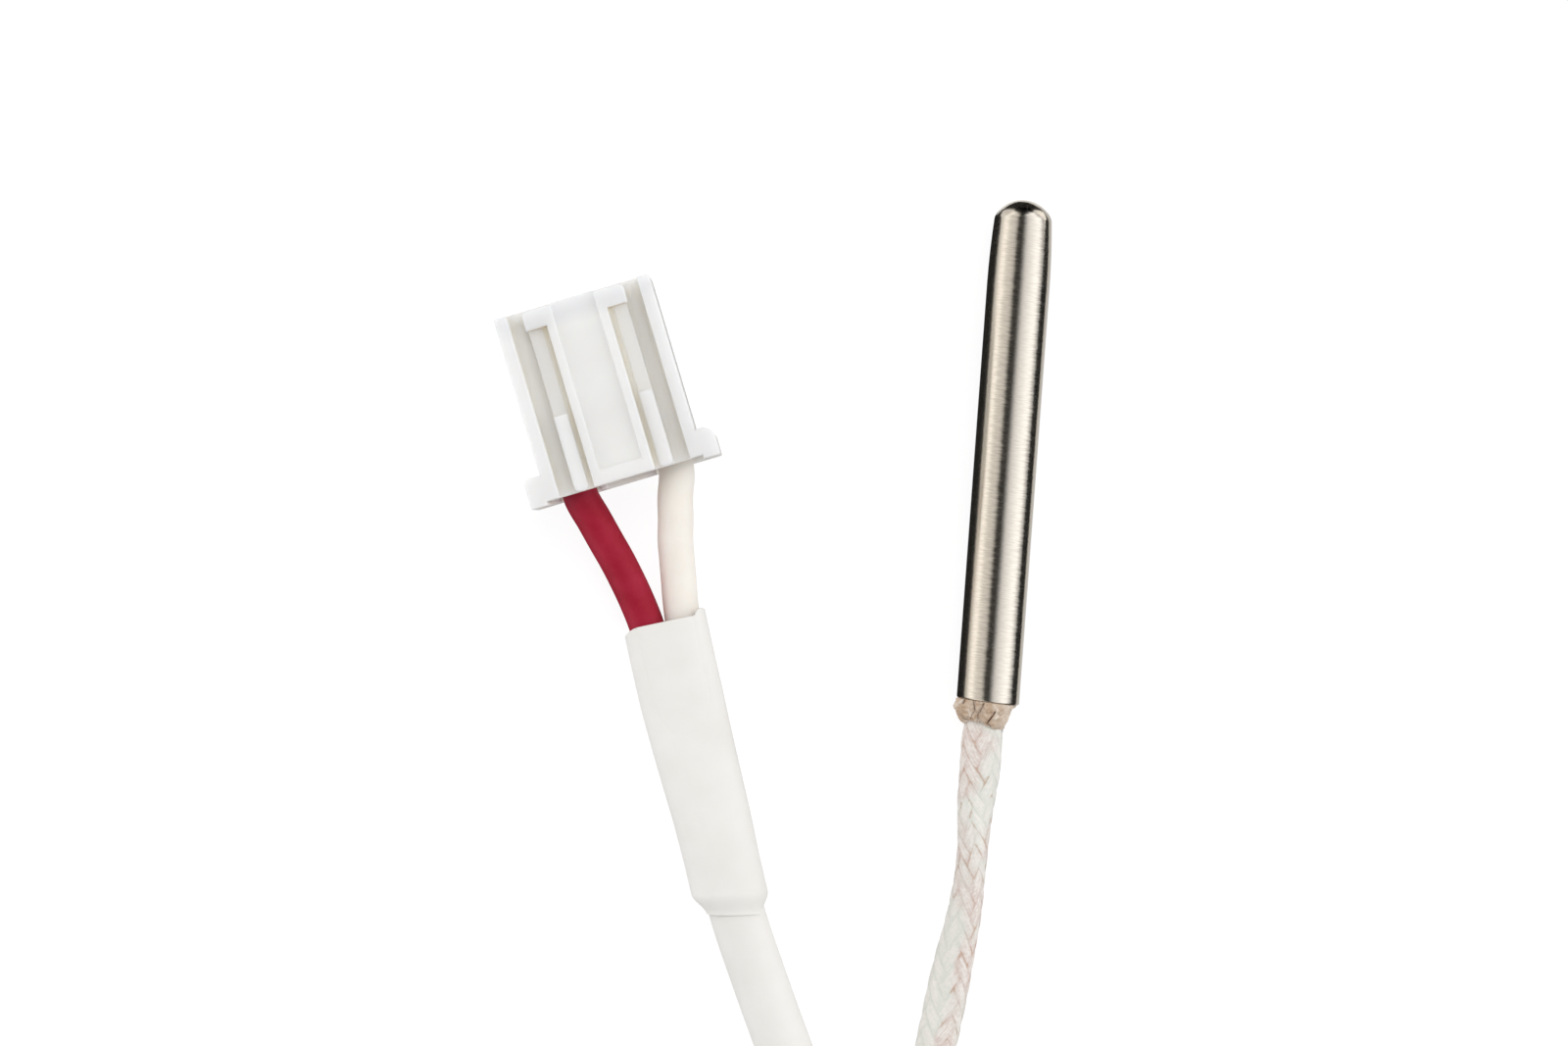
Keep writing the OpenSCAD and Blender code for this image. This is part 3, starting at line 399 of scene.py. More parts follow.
def glass_braid(colours):
    """Glass yarn braided flat and varnished: satin bundles with fine filaments and crowns paler as a painted
    highlight, brown in the gaps from varnish and painted shade.
    """
    material, tree, shader = new_material(
        "glass_yarn_braided", {"Roughness": 0.5, "IOR": 1.5, "Specular IOR Level": 0.4})
    uv = add(tree, "UVMap", {"uv_map": "UVMap"}).outputs[0]
    parted = add(tree, "SeparateXYZ", inputs={0: uv}).outputs
    known = {
        "u": parted[0], "v": parted[1], "where": add(tree, "TexCoord").outputs["Object"],
        "washed": add(tree, "Attribute", {"attribute_name": "washed"}).outputs["Fac"]}
    # The lanes of both ways round, and which of them lies on top, two over and two under
    build(tree, known, (
        ("p", "ADD", "u", "v"), ("q", "SUBTRACT", "v", "u"), ("a", "FLOOR", "p"), ("b", "FLOOR", "q"),
        ("across_p", "FRACT", "p"), ("across_q", "FRACT", "q"),
        ("apart", "SUBTRACT", "a", "b"),
        ("turn", "FLOORED_MODULO", "apart", 4.0),
        ("first_over", "LESS_THAN", "turn", 1.5),
        ("second_over", "SUBTRACT", 1.0, "first_over"),
        ("after", "ADD", "a", 1.0),
        ("run_p", "SUBTRACT", "after", "q"),
        ("float_p", "FLOORED_MODULO", "run_p", 4.0),
        ("run_q", "SUBTRACT", "p", "b"),
        ("float_q", "FLOORED_MODULO", "run_q", 4.0),
        ("float_q_from", "SUBTRACT", "float_q", 2.0),
    ))
    # What holds for the bundle on top: the place across it and along its float, and its lane
    for name, first, second in (
            ("across", "across_p", "across_q"), ("float", "float_p", "float_q_from"), ("lane_of", "a", "b")):
        build(tree, known, (
            ("part", "MULTIPLY", first, "first_over"),
            (name, "MULTIPLY_ADD", second, "second_over", "part"),
        ))
    build(tree, known, (
        ("lane", "MULTIPLY_ADD", "second_over", 37.0, "lane_of"),
        ("centred", "MULTIPLY_ADD", "across", 2.0, -1.0),
        ("wide", "ABSOLUTE", "centred"),
        ("wide_4", "POWER", "wide", 4.0),
        ("crown", "SUBTRACT", 1.0, "wide_4"),
        ("bow_angle", "MULTIPLY", "float", math.pi / 2),
        ("bow", "SINE", "bow_angle"),
        ("bow_soft", "POWER", "bow", 0.6),
        ("height", "MULTIPLY", "crown", "bow_soft"),
        ("strand", "MULTIPLY", "across", 9.0),
        ("lined", "CombineXYZ", {0: "strand", 1: "float", 2: "lane"}),
        ("filaments", "TexNoise", {"Vector": "lined", "Scale": 1.0, "Detail": 3.0}),
        ("tint", "TexNoise", {"Vector": "where", "Scale": per_mm(2.6), "Detail": 3.0}),
        ("fuzz", "TexNoise", {"Vector": "where", "Scale": per_mm(0.16), "Detail": 4.0}),
        ("worn", "TexNoise", {"Vector": "where", "Scale": per_mm(0.9), "Detail": 2.0}),
        # Rosy and greyish stretches, with paler filaments, and bundles painted paler on their crowns as a
        # painted highlight
        ("varied", "MULTIPLY_ADD", "washed", 0.34, "tint"),
        ("rosy", "MapRange", {"Value": "varied", "From Min": 0.46, "From Max": 0.62}),
        ("body", "Mix", {"Factor": "rosy", 6: linear("#D9CAC3"), 7: linear("#DDDED6")}, RGBA),
        ("fluffy", "MULTIPLY_ADD", "fuzz", 0.4, -0.07),
        ("raised", "MULTIPLY_ADD", "height", 0.13, "fluffy"),
        ("grained", "MULTIPLY_ADD", "filaments", 0.55, "raised"),
        ("paler", "MapRange", {"Value": "grained", "From Min": 0.42, "From Max": 0.6, "To Max": 0.95}),
        ("streaked", "Mix", {"Factor": "paler", 6: "body", 7: colours.yarn}, RGBA),
        # Gaps, brown with varnish and with painted shade, which varnish and felting close here and there
        ("ragged", "MULTIPLY_ADD", "fuzz", 0.5, -0.25),
        ("level", "ADD", "height", "ragged"),
        ("filled", "MULTIPLY_ADD", "worn", 2.8, -1.2),
        ("felted", "MULTIPLY_ADD", "washed", 0.5, "filled"),
        ("closed", "MAXIMUM", "felted", 0.0),
        ("shown", "ADD", "level", "closed"),
        ("gap", "MapRange", {"Value": "shown", "From Min": 0.45, "From Max": 0.0, "To Max": 0.75}),
        ("Base Color", "Mix", {"Factor": "gap", 6: "streaked", 7: linear("#BC967A")}, RGBA),
        ("relief", "MULTIPLY_ADD", "filaments", 0.28, "height"),
        ("Normal", "Bump", {"Height": "relief", "Distance": 0.04 * MM, "Strength": 0.85}),
    ), shader)
    return material


def shrunk_sleeve(colours):
    """Polyolefin sleeve, shrunk with hot air: satin, with a faint warm cast and the finest orange peel."""
    return plain("polyolefin_shrunk", colours.sleeve, "#EBE9E4", (2.6, 0.35, 0.004),
                 {"Roughness": 0.55, "IOR": 1.48, "Specular IOR Level": 0.4})


def red_silicone(colours):
    """Silicone rubber, extruded: satin deep red under a soft bloom, faintly mottled."""
    return plain("silicone_red", colours.red_rubber, "#A4223A", (1.1, 0.1, 0.008),
                 {"Roughness": 0.45, "IOR": 1.42, "Specular IOR Level": 0.25})


def white_silicone(colours):
    """Silicone rubber, extruded: ivory, satin, slightly see-through at its edges."""
    return plain("silicone_white", colours.white_rubber, "#EEE8E0", (1.6, 0.12, 0.006), {
        "Roughness": 0.45, "IOR": 1.42, "Specular IOR Level": 0.4, "Subsurface Weight": 0.9,
        "Subsurface Radius": (1.0, 0.92, 0.85), "Subsurface Scale": 1.4 * MM})


def moulded_nylon(colours):
    """Natural nylon, injection moulded: milky white, semi-gloss. Painted shade greys it towards its sides,
    past the caps' start and in its channels, a painted glow warms its slots, and a painted shadow line lies
    under each cap.
    """
    material, tree, shader = new_material("nylon_moulded", {
        "Roughness": 0.4, "IOR": 1.53, "Specular IOR Level": 0.4, "Subsurface Weight": 1.0,
        "Subsurface Radius": (1.0, 0.96, 0.9), "Subsurface Scale": 1.6 * MM})
    known = dappled(tree, shader, colours.nylon, "#EEEDEB", 2.4, 0.22, 0.003)
    parted = add(tree, "SeparateXYZ", inputs={0: known["where"]}).outputs
    known.update(x=parted[0], y=parted[1], height=parted[2])
    cos, sin = math.cos(PLUG_TURN), math.sin(PLUG_TURN)
    wire_end = PLUG_Y + MOUTH_Y
    build(tree, known, (
        ("across_1", "MULTIPLY", "x", cos),
        ("across", "MULTIPLY_ADD", "y", sin, "across_1"),
        ("off", "SUBTRACT", "across", (PLUG_X * cos + wire_end * sin) * MM),
        ("far", "ABSOLUTE", "off"),
        ("along_1", "MULTIPLY", "x", -sin),
        ("along", "MULTIPLY_ADD", "y", cos, "along_1"),
        ("past", "SUBTRACT", "along", (wire_end * cos - PLUG_X * sin + CAP_FROM) * MM),
        ("near_cap", "ABSOLUTE", "past"),
        # Where the caps lie over the keys: a painted shadow line in the gap under each cap goes there
        ("in_key", "COMPARE", "far", 2.06 * MM, 0.5 * MM),
        ("crumbs", "MULTIPLY", "in_key", 0.4),
    ))
    # Painted shade greying the thin floors and the outer walls, a painted warm glow in the slots beside the
    # ribs, and a painted shadow line under each cap: where each starts and is full in millimetres, its share
    # at most, and its colour
    for by, start, full, most, code in (
            ("far", 1.7, 2.9, 0.6, "#DFDFE1"), ("past", -0.3, 0.4, 0.55, "#DADBDF"),
            ("height", 5.35, 5.24, 0.5, "#F0EBE3"), ("height", 5.14, 5.07, 0.4, "#EEEADD"),
            ("height", 4.98, 4.88, 0.6, "#E0DFDC"), ("near_cap", 0.04, 0.015, "crumbs", "#C4AF92")):
        build(tree, known, (
            ("share", "MapRange", {
                "Value": by, "From Min": start * MM, "From Max": full * MM, "To Max": most}),
            ("Base Color", "Mix", {"Factor": "share", 6: "Base Color", 7: linear(code)}, RGBA),
        ), shader)
    return material


def tie_nylon():
    """Nylon strap, extruded and cut: whiter than the lead, with a light brushed grain."""
    return plain("nylon_strap", linear("#F0F0EE"), "#E2E2DE", (1.2, 0.15, 0.01),
                 {"Roughness": 0.45, "IOR": 1.53})


def plated_tin():
    """Tin plate on bronze, stamped and rolled: soft bright metal with a dull bloom."""
    return plain("tin_plated", linear("#C9C6BD"), "#AFABA0", (0.6, 0.08, 0.004),
                 {"Metallic": 1.0, "Roughness": 0.32})


def platinum_film():
    """Platinum, printed and fired on the chip, or drawn as a lead: grey and satin."""
    return plain("platinum_fired", linear("#A9ABB0"), "#8D8F94", (0.3, 0.05, 0.002),
                 {"Metallic": 1.0, "Roughness": 0.35})


def fired_alumina():
    """Alumina, pressed and fired: white and matt."""
    return plain("alumina_fired", linear("#F2F0EA"), "#E6E2DA", (0.5, 0.06, 0.004),
                 {"Roughness": 0.6, "IOR": 1.76})


def fired_glass():
    """Glass paste, printed over the track and fired: a thin glossy greenish skin."""
    return plain("glass_paste_fired", linear("#D8E4E2"), "#C8D8D6", (0.6, 0.1, 0.003),
                 {"Roughness": 0.15, "IOR": 1.52})


def amber_film():
    """Polyimide film, wound to a tube: clear amber with a satin face."""
    return plain("polyimide_wound", linear("#C98A2C"), "#B5761E", (1.5, 0.2, 0.003),
                 {"Roughness": 0.35, "IOR": 1.7})


# Pieces


def coil_points(outer):
    """Points of the coil, layer on layer, spiralling in and out by turns, in millimetres."""
    per_layer = COIL_TURN / COIL_LAYERS
    span = LAYER_RISE * per_layer / 360
    low = PROBE_ROUTE[-1][2]
    points = []
    for turned in np.arange(0, COIL_TURN + COIL_STEP / 2, COIL_STEP):
        layer = min(COIL_LAYERS - 1, int(turned // per_layer))
        into = turned - layer * per_layer
        inward = into / per_layer if layer % 2 == 0 else 1 - into / per_layer
        hop = 0.0 if layer == COIL_LAYERS - 1 else max(0.0, (into - per_layer + LAYER_HOP) / LAYER_HOP)
        radius = outer - span * inward
        height = low + LAYER_RISE * (layer + hop * hop * (3 - 2 * hop))
        angle = COIL_FROM - turned
        pinch = tie_pinch(angle)
        middle_r, middle_z = outer - span / 2, low + LAYER_RISE * (COIL_LAYERS - 1) / 2
        radius = middle_r + (radius - middle_r) * pinch
        height = middle_z + (height - middle_z) * pinch
        a = math.radians(angle)
        points.append((COIL_MIDDLE[0] + radius * math.cos(a), COIL_MIDDLE[1] + radius * math.sin(a), height))
    return points


def tie_pinch(angle):
    """How much of its size the bundle of turns keeps near the tie."""
    apart = abs((angle - TIE_ANGLE + 180) % 360 - 180)
    return 1 - TIE_PINCH * max(0.0, 1 - (apart / TIE_REACH) ** 2) ** 2


def lead_line(length, spacing):
    """The whole lead's centreline. The coil's turns are let in or out until it has its real length."""
    outer = COIL_OUTER
    for _ in range(3):
        line = smooth_line(from_mouth(PROBE_ROUTE + coil_points(outer) + PLUG_ROUTE), spacing)
        outer += (length - distances(line)[-1]) / MM / math.radians(COIL_TURN)
    return line


# How the flat braid is turned about its own line: two quarter turns, then slowly on. Each point is how far
# along it, and its turn in degrees
LEAD_TURNS = ((0, -12), (1.2, 0), (6.8, 90), (14.5, 178), (18, 196), (1018, 8196))


def braid_relief(u, v):
    """Height of the braid, 0 in its gaps to 1 on its bundles, two over and two under."""
    p, q = u + v, v - u
    a, b = np.floor(p), np.floor(q)
    first = np.mod(a - b, 4) < 1.5
    across = np.where(first, p - a, q - b)
    run = np.where(first, np.mod(a + 1 - q, 4), np.mod(p - b, 4) - 2)
    bow = np.clip(np.sin(np.clip(run, 0, 2) * math.pi / 2), 0, 1)
    return (1 - np.abs(2 * across - 1) ** 3) * bow ** 0.6


# The lead is fine near the cement, where its relief shows, and coarser further on
FINE_TO = 20.0
FINE_STEP = 0.06
FINE_SIDES = 64
COARSE_STEP = 0.7
COARSE_SIDES = 16
COARSE_LAP = 0.3
INSIDE = 0.8
# Boxiness of its section, and the height of its relief that lies at its full width
BRAID_SQUARE = 2.05
BRAID_LEVEL = 0.75
# Its end lies deep in the cement, pressed narrower and a little to the left
END_DEEP = -4.4
END_SHALLOW = -0.5
END_RINGS = 40
END_LEFT = 0.12
END_PRESSED = 0.8


def lead_rings(line, sides, places, width, thickness, relief):
    """Rings of the braid along part of its line, twisted, with its bundles standing out."""
    base = oval(sides, BRAID_SQUARE)
    wide, tall = np.multiply.outer(width / 2, base[0]), np.multiply.outer(thickness / 2, base[1])
    u = (np.arange(sides) + 0.5) / sides * BUNDLES
    raised = relief * (braid_relief(u[None, :], places[:, None] / CROSSING) - BRAID_LEVEL)
    scale = 1 + raised / np.hypot(wide, tall)
    wide, tall = wide * scale, tall * scale
    turn = np.radians(np.interp(places, *zip(*LEAD_TURNS)))[:, None]
    cos, sin = np.cos(turn), np.sin(turn)
    return sweep(line, np.stack([wide * cos - tall * sin, wide * sin + tall * cos], axis=1))


WHITE = (1, 1, 1, 1)

# What the steel mirrors. Two screens and a ceiling: the angles that each fills, seen from the sheath, in
# degrees off straight up, its tint, and its brightness at shares of the way up it
SCREENS = (
    ("screen_left", -102.0, -19.0, WHITE, (
        (0.0, 0.3), (0.07, 0.65), (0.24, 1.28), (0.36, 1.66), (0.43, 1.68), (0.52, 1.32), (0.63, 1.08),
        (0.77, 0.98), (0.86, 0.8), (0.95, 0.4), (1.0, 0.2))),
    ("screen_right", 92.0, 1.5, (0.965, 1.0, 1.06, 1), (
        (0.0, 0.35), (0.09, 0.75), (0.19, 1.2), (0.31, 1.85), (0.41, 1.88), (0.5, 1.7), (0.58, 1.53),
        (0.67, 1.35), (0.76, 1.14), (0.87, 0.64), (0.94, 0.32), (1.0, 0.18))),
    ("ceiling", -19.0, 1.5, WHITE, ((0.0, 0.05), (1.0, 0.05))),
)
SCREEN_AWAY = 0.5
SCREEN_HALF = 0.85
# The room is dark low down, and the lit table beside the sheath and past its tip shows in the steel's edges:
# each sheet's height, strength, and corners in millimetres
SHEETS = (
    ("low_room", -200, 0.025, ((-1500, -1500), (1500, -1500), (1500, 1500), (-1500, 1500))),
    ("table_beside", 0.03, 0.78, ((1.75, -13.4), (4.6, -13.4), (4.6, 13.6), (1.75, 15.8))),
    ("table_past_tip", 0.03, 1.0, ((-2.3, 13.2), (1.75, 13.2), (1.75, 15.8), (-2.3, 14.6))),
    ("table_far_left", 0.03, 1.05, ((-3.1, 15.0), (-60, 158), (-62, 80), (-60, 13.5))),
    ("table_far_right", 0.03, 1.55, ((3.2, 15.3), (60, 17), (62, 90), (60, 158))),
)
# The lamps that light what isn't shiny: where each stands and its radiance
LAMPS = (
    ("overhead_fill", (0.0, 0.35, 0.85), 3.5), ("right_fill", (0.7, 0.1, 0.5), 2.5),
    ("left_fill", (-0.8, 0.0, 0.22), 2.0))
LAMP_SIZE = 0.5
WORLD_STRENGTH = 0.53
FLOOR_REACH = 3.0
FLOOR_DROP = 0.02


class PROBE_OT_stage(bpy.types.Operator):
    """Makes the camera, the pale floor and the soft studio light"""

    bl_idname = "probe.stage"
    bl_label = "Stage"

    def execute(self, context):
        scene = context.scene
        scene.view_settings.view_transform = "Standard"
        camera = bpy.data.objects.new("camera", bpy.data.cameras.new("camera"))
        scene.collection.objects.link(camera)
        up = Vector(VIEW_UP).normalized()
        back = Vector((0.0, 0.0, 1.0))
        turn = Matrix((up.cross(back), up, back)).transposed().to_4x4()
        camera.matrix_world = Matrix.Translation(Vector(VIEW_MIDDLE) * MM + back * CAMERA_HEIGHT * MM) @ turn
        camera.data.sensor_width = SENSOR
        camera.data.lens = SENSOR * CAMERA_HEIGHT / VIEW_WIDTH
        camera.data.clip_start = 0.01
        scene.camera = camera

        r = FLOOR_REACH
        floor = stage_sheet("floor", [(-r, -r, 0), (r, -r, 0), (r, r, 0), (-r, r, 0)], lit_table())
        floor.location.z = -FLOOR_DROP * MM
        floor.visible_glossy = False

        world = bpy.data.worlds.new("studio")
        world.use_nodes = True
        world.node_tree.nodes["Background"].inputs["Color"].default_value = WHITE
        world.node_tree.nodes["Background"].inputs["Strength"].default_value = WORLD_STRENGTH
        world.cycles_visibility.glossy = False
        scene.world = world
        for name, at, radiance in LAMPS:
            fill_lamp(name, Vector(at), radiance)

        for name, low, high, tint, stops in SCREENS:
            ends = ((low, -SCREEN_HALF), (low, SCREEN_HALF), (high, SCREEN_HALF), (high, -SCREEN_HALF))
            corners = [
                (math.sin(math.radians(angle)) * SCREEN_AWAY, y, math.cos(math.radians(angle)) * SCREEN_AWAY)
                for angle, y in ends]
            mirrored(name, corners, glow(name + "_cloth", stops, tint))
        for name, height, strength, corners in SHEETS:
            mirrored(name, [(x * MM, y * MM, height * MM) for x, y in corners],
                     glow(name + "_glow", ((0.0, strength), (1.0, strength)), WHITE))
        return {"FINISHED"}


def stage_sheet(name, corners, material):
    """A flat sheet of the studio, with its first edge along U and its height along V."""
    mesh = bpy.data.meshes.new(name)
    mesh.from_pydata(corners, [], [(0, 1, 2, 3)])
    mesh.uv_layers.new(name="UVMap").data.foreach_set("uv", (0, 0, 1, 0, 1, 1, 0, 1))
    sheet = put(name, mesh, material)
    return sheet


def mirrored(name, corners, material):
    """A sheet of the studio that is seen in glossy surfaces alone."""
    sheet = stage_sheet(name, corners, material)
    sheet.visible_camera = False
    sheet.visible_diffuse = False
    sheet.visible_shadow = False
    sheet.visible_transmission = False


def lit_table():
    """White acrylic over lamps: an even pale surface that keeps a faint shadow."""
    return new_material("acrylic_lit", {
        "Base Color": (0.16, 0.16, 0.16, 1), "Roughness": 0.6, "Emission Color": WHITE,
        "Emission Strength": 0.87})[0]


def glow(name, stops, tint):
    """Cloth of a softbox: its brightness changes up along V as the stops say."""
    material = bpy.data.materials.new(name)
    material.use_nodes = True
    material.cycles.emission_sampling = "NONE"
    tree = material.node_tree
    tree.nodes.clear()
    uv = add(tree, "UVMap", {"uv_map": "UVMap"}).outputs[0]
    height = add(tree, "SeparateXYZ", inputs={0: uv}).outputs[1]
    curve = add(tree, "FloatCurve", inputs={"Value": height})
    top = max(value for _, value in stops)
    points = curve.mapping.curves[0].points
    for point, (share, value) in zip(points, (stops[0], stops[-1])):
        point.location = share, value / top
    for share, value in stops[1:-1]:
        points.new(share, value / top)
    curve.mapping.update()
    strength = add(tree, "Math", {"operation": "MULTIPLY"}, {0: curve.outputs[0], 1: top})
    light = add(tree, "Emission", inputs={"Color": tint, "Strength": strength.outputs[0]})
    add(tree, "OutputMaterial", inputs={"Surface": light.outputs[0]})
    return material


def fill_lamp(name, at, radiance):
    """A soft lamp that lights what isn't shiny."""
    lamp = bpy.data.lights.new(name, "AREA")
    lamp.shape = "SQUARE"
    lamp.size = LAMP_SIZE
    lamp.energy = radiance * LAMP_SIZE * LAMP_SIZE * math.pi
    panel = bpy.data.objects.new(name, lamp)
    bpy.context.scene.collection.objects.link(panel)
    panel.location = at
    panel.rotation_euler = at.to_track_quat("Z", "Y").to_euler()
    panel.visible_camera = False
    panel.visible_glossy = False


class PROBE_OT_lead(bpy.types.Operator):
    """Makes the braided lead, from the potting through its coil to the plug's sleeves"""

    bl_idname = "probe.lead"
    bl_label = "Braided lead"

    def execute(self, context):
        sizes = context.scene.probe_sizes
        yarn = glass_braid(context.scene.probe_colours)
        line = lead_line(sizes.lead_length, FINE_STEP * MM)
        run = distances(line)
        parts, washed = [], []
        for first, last, step, sides, relief in (
                (-INSIDE, FINE_TO, FINE_STEP, FINE_SIDES, sizes.braid_relief),
                (FINE_TO - COARSE_LAP, run[-1] / MM, COARSE_STEP, COARSE_SIDES, 0.0)):
            at = np.linspace(first, last, round((last - first) / step) + 1) * MM
            points = points_at(at, run, line)
            points[:, 1] -= np.minimum(at, 0.0)
            # It leaves the cement a little left of the sheath's middle, and a little narrower
            pressed = np.clip(1 - at / MM, 0, 1)
            points[:, 0] -= (0.1 * np.clip(1.5 - at / (1.4 * MM), 0, 1) + 0.04 * pressed) * MM
            rings = lead_rings(points, sides, at / MM, sizes.lead_width * (1 - 0.05 * pressed),
                               sizes.lead_thickness * (1 - 0.06 * pressed), relief)
            parts.append((rings, BUNDLES, at / MM / CROSSING))
            washed.append(self.washed(rings[:, :, 0] - points[:, None, 0], at[:, None]).ravel())
        mesh = skin("braided_lead", parts)
        mark(mesh, "washed", np.concatenate(washed))
        piece = place("braided_lead", mesh, "lead_braid", yarn,
                      "lead_run_probe", "lead_coil", "lead_run_plug")
        piece["lead_path"] = line[:: round(PATH_STEP / FINE_STEP)].ravel().tolist() + line[-1].tolist()

        at = np.linspace(END_DEEP, END_SHALLOW, END_RINGS)
        same = np.ones(END_RINGS)
        points = np.stack([at * 0 - END_LEFT, at * 0 + MOUTH_Y - POTTING_OUT, at * 0 + AXIS_Z], axis=1) * MM
        points[:, 1] -= at * MM
        rings = lead_rings(points, FINE_SIDES, at, END_PRESSED * sizes.lead_width * same,
                           END_PRESSED * sizes.lead_thickness * same, sizes.braid_relief)
        place("braid_end_yarn", [(rings, BUNDLES, at / CROSSING)], "lead_braid", yarn, "braid_end")
        return {"FINISHED"}

    def washed(self, across, along):
        """Where the yarn is felted and greyish white: on the right by the cement, on the left further on."""
        side, way = across / (0.5 * MM), along / MM
        near = 0.55 * np.clip(0.2 + side, 0, 1) * np.clip(1.9 - way / 4.0, 0, 1)
        far = np.clip(0.5 - side, 0, 1) * np.clip((way - 8.0) / 2.0, 0, 1)
        return np.maximum(near, far)


def turned(profile, sides):
    """Rings of a profile of radius and distance from the mouth, turned about the sheath's axis."""
    angle = 2 * math.pi * np.arange(sides) / sides
    r, y = profile[:, 0][:, None], profile[:, 1][:, None]
    level = y + np.zeros(sides) + MOUTH_Y
    return np.stack([r * np.cos(angle), level, AXIS_Z + r * np.sin(angle)], axis=2) * MM


def arc(middle, radius, first, last, count):
    """Points of an arc, angles in degrees from the axis outwards."""
    a = np.radians(np.linspace(first, last, count))
    return np.stack([radius * np.sin(a), middle + radius * np.cos(a)], axis=1)


class PROBE_OT_sheath(bpy.types.Operator):
    """Makes the steel sheath with its spun tip"""

    bl_idname = "probe.sheath"
    bl_label = "Sheath"

    def execute(self, context):
        # How far and along which length the tip is drawn in, and the size of the mouth's broken edge
        draw, draw_len, wall, broken, sides = 0.14, 3.6, 0.25, 0.11, 160
        bore, shoulder = SHEATH_R - wall, SHEATH_R - draw
        crown_angle = math.degrees(math.asin(shoulder / SHEATH_R))
        dome_from = SHEATH_LEN - SHEATH_R * (1 - math.cos(math.radians(crown_angle)))
        drawn = np.linspace(0, 1, 40)[1:-1]
        profile = np.concatenate([
            [(bore, 2.0), (bore, 0.05), (bore + 0.03, 0.0)],
            [(SHEATH_R - broken * (1 - math.sin(a)), broken * (1 - math.cos(a)))
             for a in np.linspace(0, math.pi / 2, 7)],
            [(SHEATH_R, y) for y in np.linspace(broken, dome_from - draw_len, 60)[1:]],
            np.stack([SHEATH_R - draw * drawn * drawn, dome_from - draw_len * (1 - drawn)], axis=1),
            [(shoulder - 0.002, dome_from - 0.03), (shoulder - 0.012, dome_from + 0.02)],
            arc(SHEATH_LEN - SHEATH_R, SHEATH_R, crown_angle - 2.5, 0.6, 48),
        ])
        rings = turned(profile, sides)
        # The tube was cut a little out of square
        near_mouth = np.clip(1 - profile[:, 1] / 3.0, 0, 1)[:, None]
        rings[:, :, 1] -= rings[:, :, 0] * TUBE_ASKEW * near_mouth
        place("steel_sheath", [(rings, 1, distances(profile))], "sheath_steel",
              ground_stainless(context.scene.probe_colours), "sheath")
        return {"FINISHED"}


# The cement as it stands out of the mouth: each point is how far out and how far from the axis
CEMENT_LEFT = (
    (0, 1.56), (0.07, 1.61), (0.29, 1.68), (0.42, 1.71), (0.52, 1.67), (0.62, 1.56), (0.82, 1.49),
    (0.97, 1.39), (1.09, 1.26), (1.26, 1.06))
CEMENT_RIGHT = (
    (0, 1.46), (0.14, 1.39), (0.25, 1.28), (0.62, 1.12), (0.97, 0.98), (1.2, 0.86), (1.45, 0.76))
CEMENT_TOP = ((0, 1.5), (0.3, 1.48), (0.8, 1.3), (1.1, 1.05), (1.4, 0.86))
# How far out it reaches, from its left side to its right one
CEMENT_REACH = (
    (-1.16, 1.26), (-0.97, 1.04), (-0.71, 1.03), (-0.52, 1.12), (-0.42, 0.98), (-0.08, 1.21), (0.24, 1.27),
    (0.48, 1.36), (0.93, 1.38))
# Its cracks: half width, depth, and points across and out. Those without depth are painted shade, broad brown
# where facets beside the cracks lie in shade
CEMENT_CRACKS_AND_SHADE = (
    (0.03, 0.12, ((-0.77, 0.02), (-0.72, 0.25), (-0.67, 0.47))),
    (0.025, 0.04, ((-0.67, 0.47), (-0.79, 0.69), (-0.85, 0.93))),
    (0.04, 0.05, ((-0.26, 0.1), (-0.39, 0.45), (-0.51, 0.64), (-0.5, 0.88))),
    (0.022, 0.15, ((0.34, 0.43), (0.22, 0.69), (0.0, 1.05))),
    (0.024, 0.06, ((0.0, 1.05), (0.24, 1.24))),
    (0.05, 0.1, ((-1.27, 0.2), (-1.22, 0.06))),
    (0.025, 0.05, ((-0.97, 0.98), (-1.25, 0.92))),
    (0.09, 0.0, ((-0.75, 0.1), (-0.68, 0.45))),
    (0.11, 0.0, ((-0.33, 0.15), (-0.47, 0.62), (-0.5, 0.9))),
    (0.07, 0.0, ((-1.4, 0.72), (-1.1, 0.95))),
)
# Its pale broken edges: half width, height, and points across and out
CEMENT_RIDGES = (
    (0.07, 0.05, ((-1.66, 0.42), (-1.33, 0.1))),
    (0.1, 0.04, ((0.36, 0.46), (0.5, 0.64), (0.34, 0.8))),
    (0.045, 0.04, ((-0.66, 1.02), (-0.52, 0.88), (-0.4, 1.02), (-0.2, 1.16))),
    (0.06, 0.03, ((0.25, 0.12), (0.45, 0.34))),
    (0.07, 0.03, ((-0.98, 0.5), (-0.86, 0.74))),
)
# Seed of its lumps
CEMENT_SEED = 4


def clamped(value):
    """The value, kept between 0 and 1."""
    return max(0.0, min(1.0, value))


def lines_by(lines, across, out):
    """For each stretch of the lines: how near the place is, from 1 on it towards 0, the line's height, the
    distance, and whether the place lies on its right."""
    for half, height, points in lines:
        for (x0, y0), (x1, y1) in zip(points, points[1:]):
            dx, dy = x1 - x0, y1 - y0
            t = clamped(((across - x0) * dx + (out - y0) * dy) / (dx * dx + dy * dy))
            off_x, off_y = across - x0 - t * dx, out - y0 - t * dy
            far = math.hypot(off_x, off_y)
            yield math.exp(-(far / half) ** 2), height, far, off_x > 0


def ridge_at(across, out):
    """How high and how pale the cement's broken edges are at a place above."""
    high, pale = 0.0, 0.0
    for near, height, _, _ in lines_by(CEMENT_RIDGES, across, out):
        high, pale = max(high, height * near), max(pale, 0.65 * near)
    return high, pale


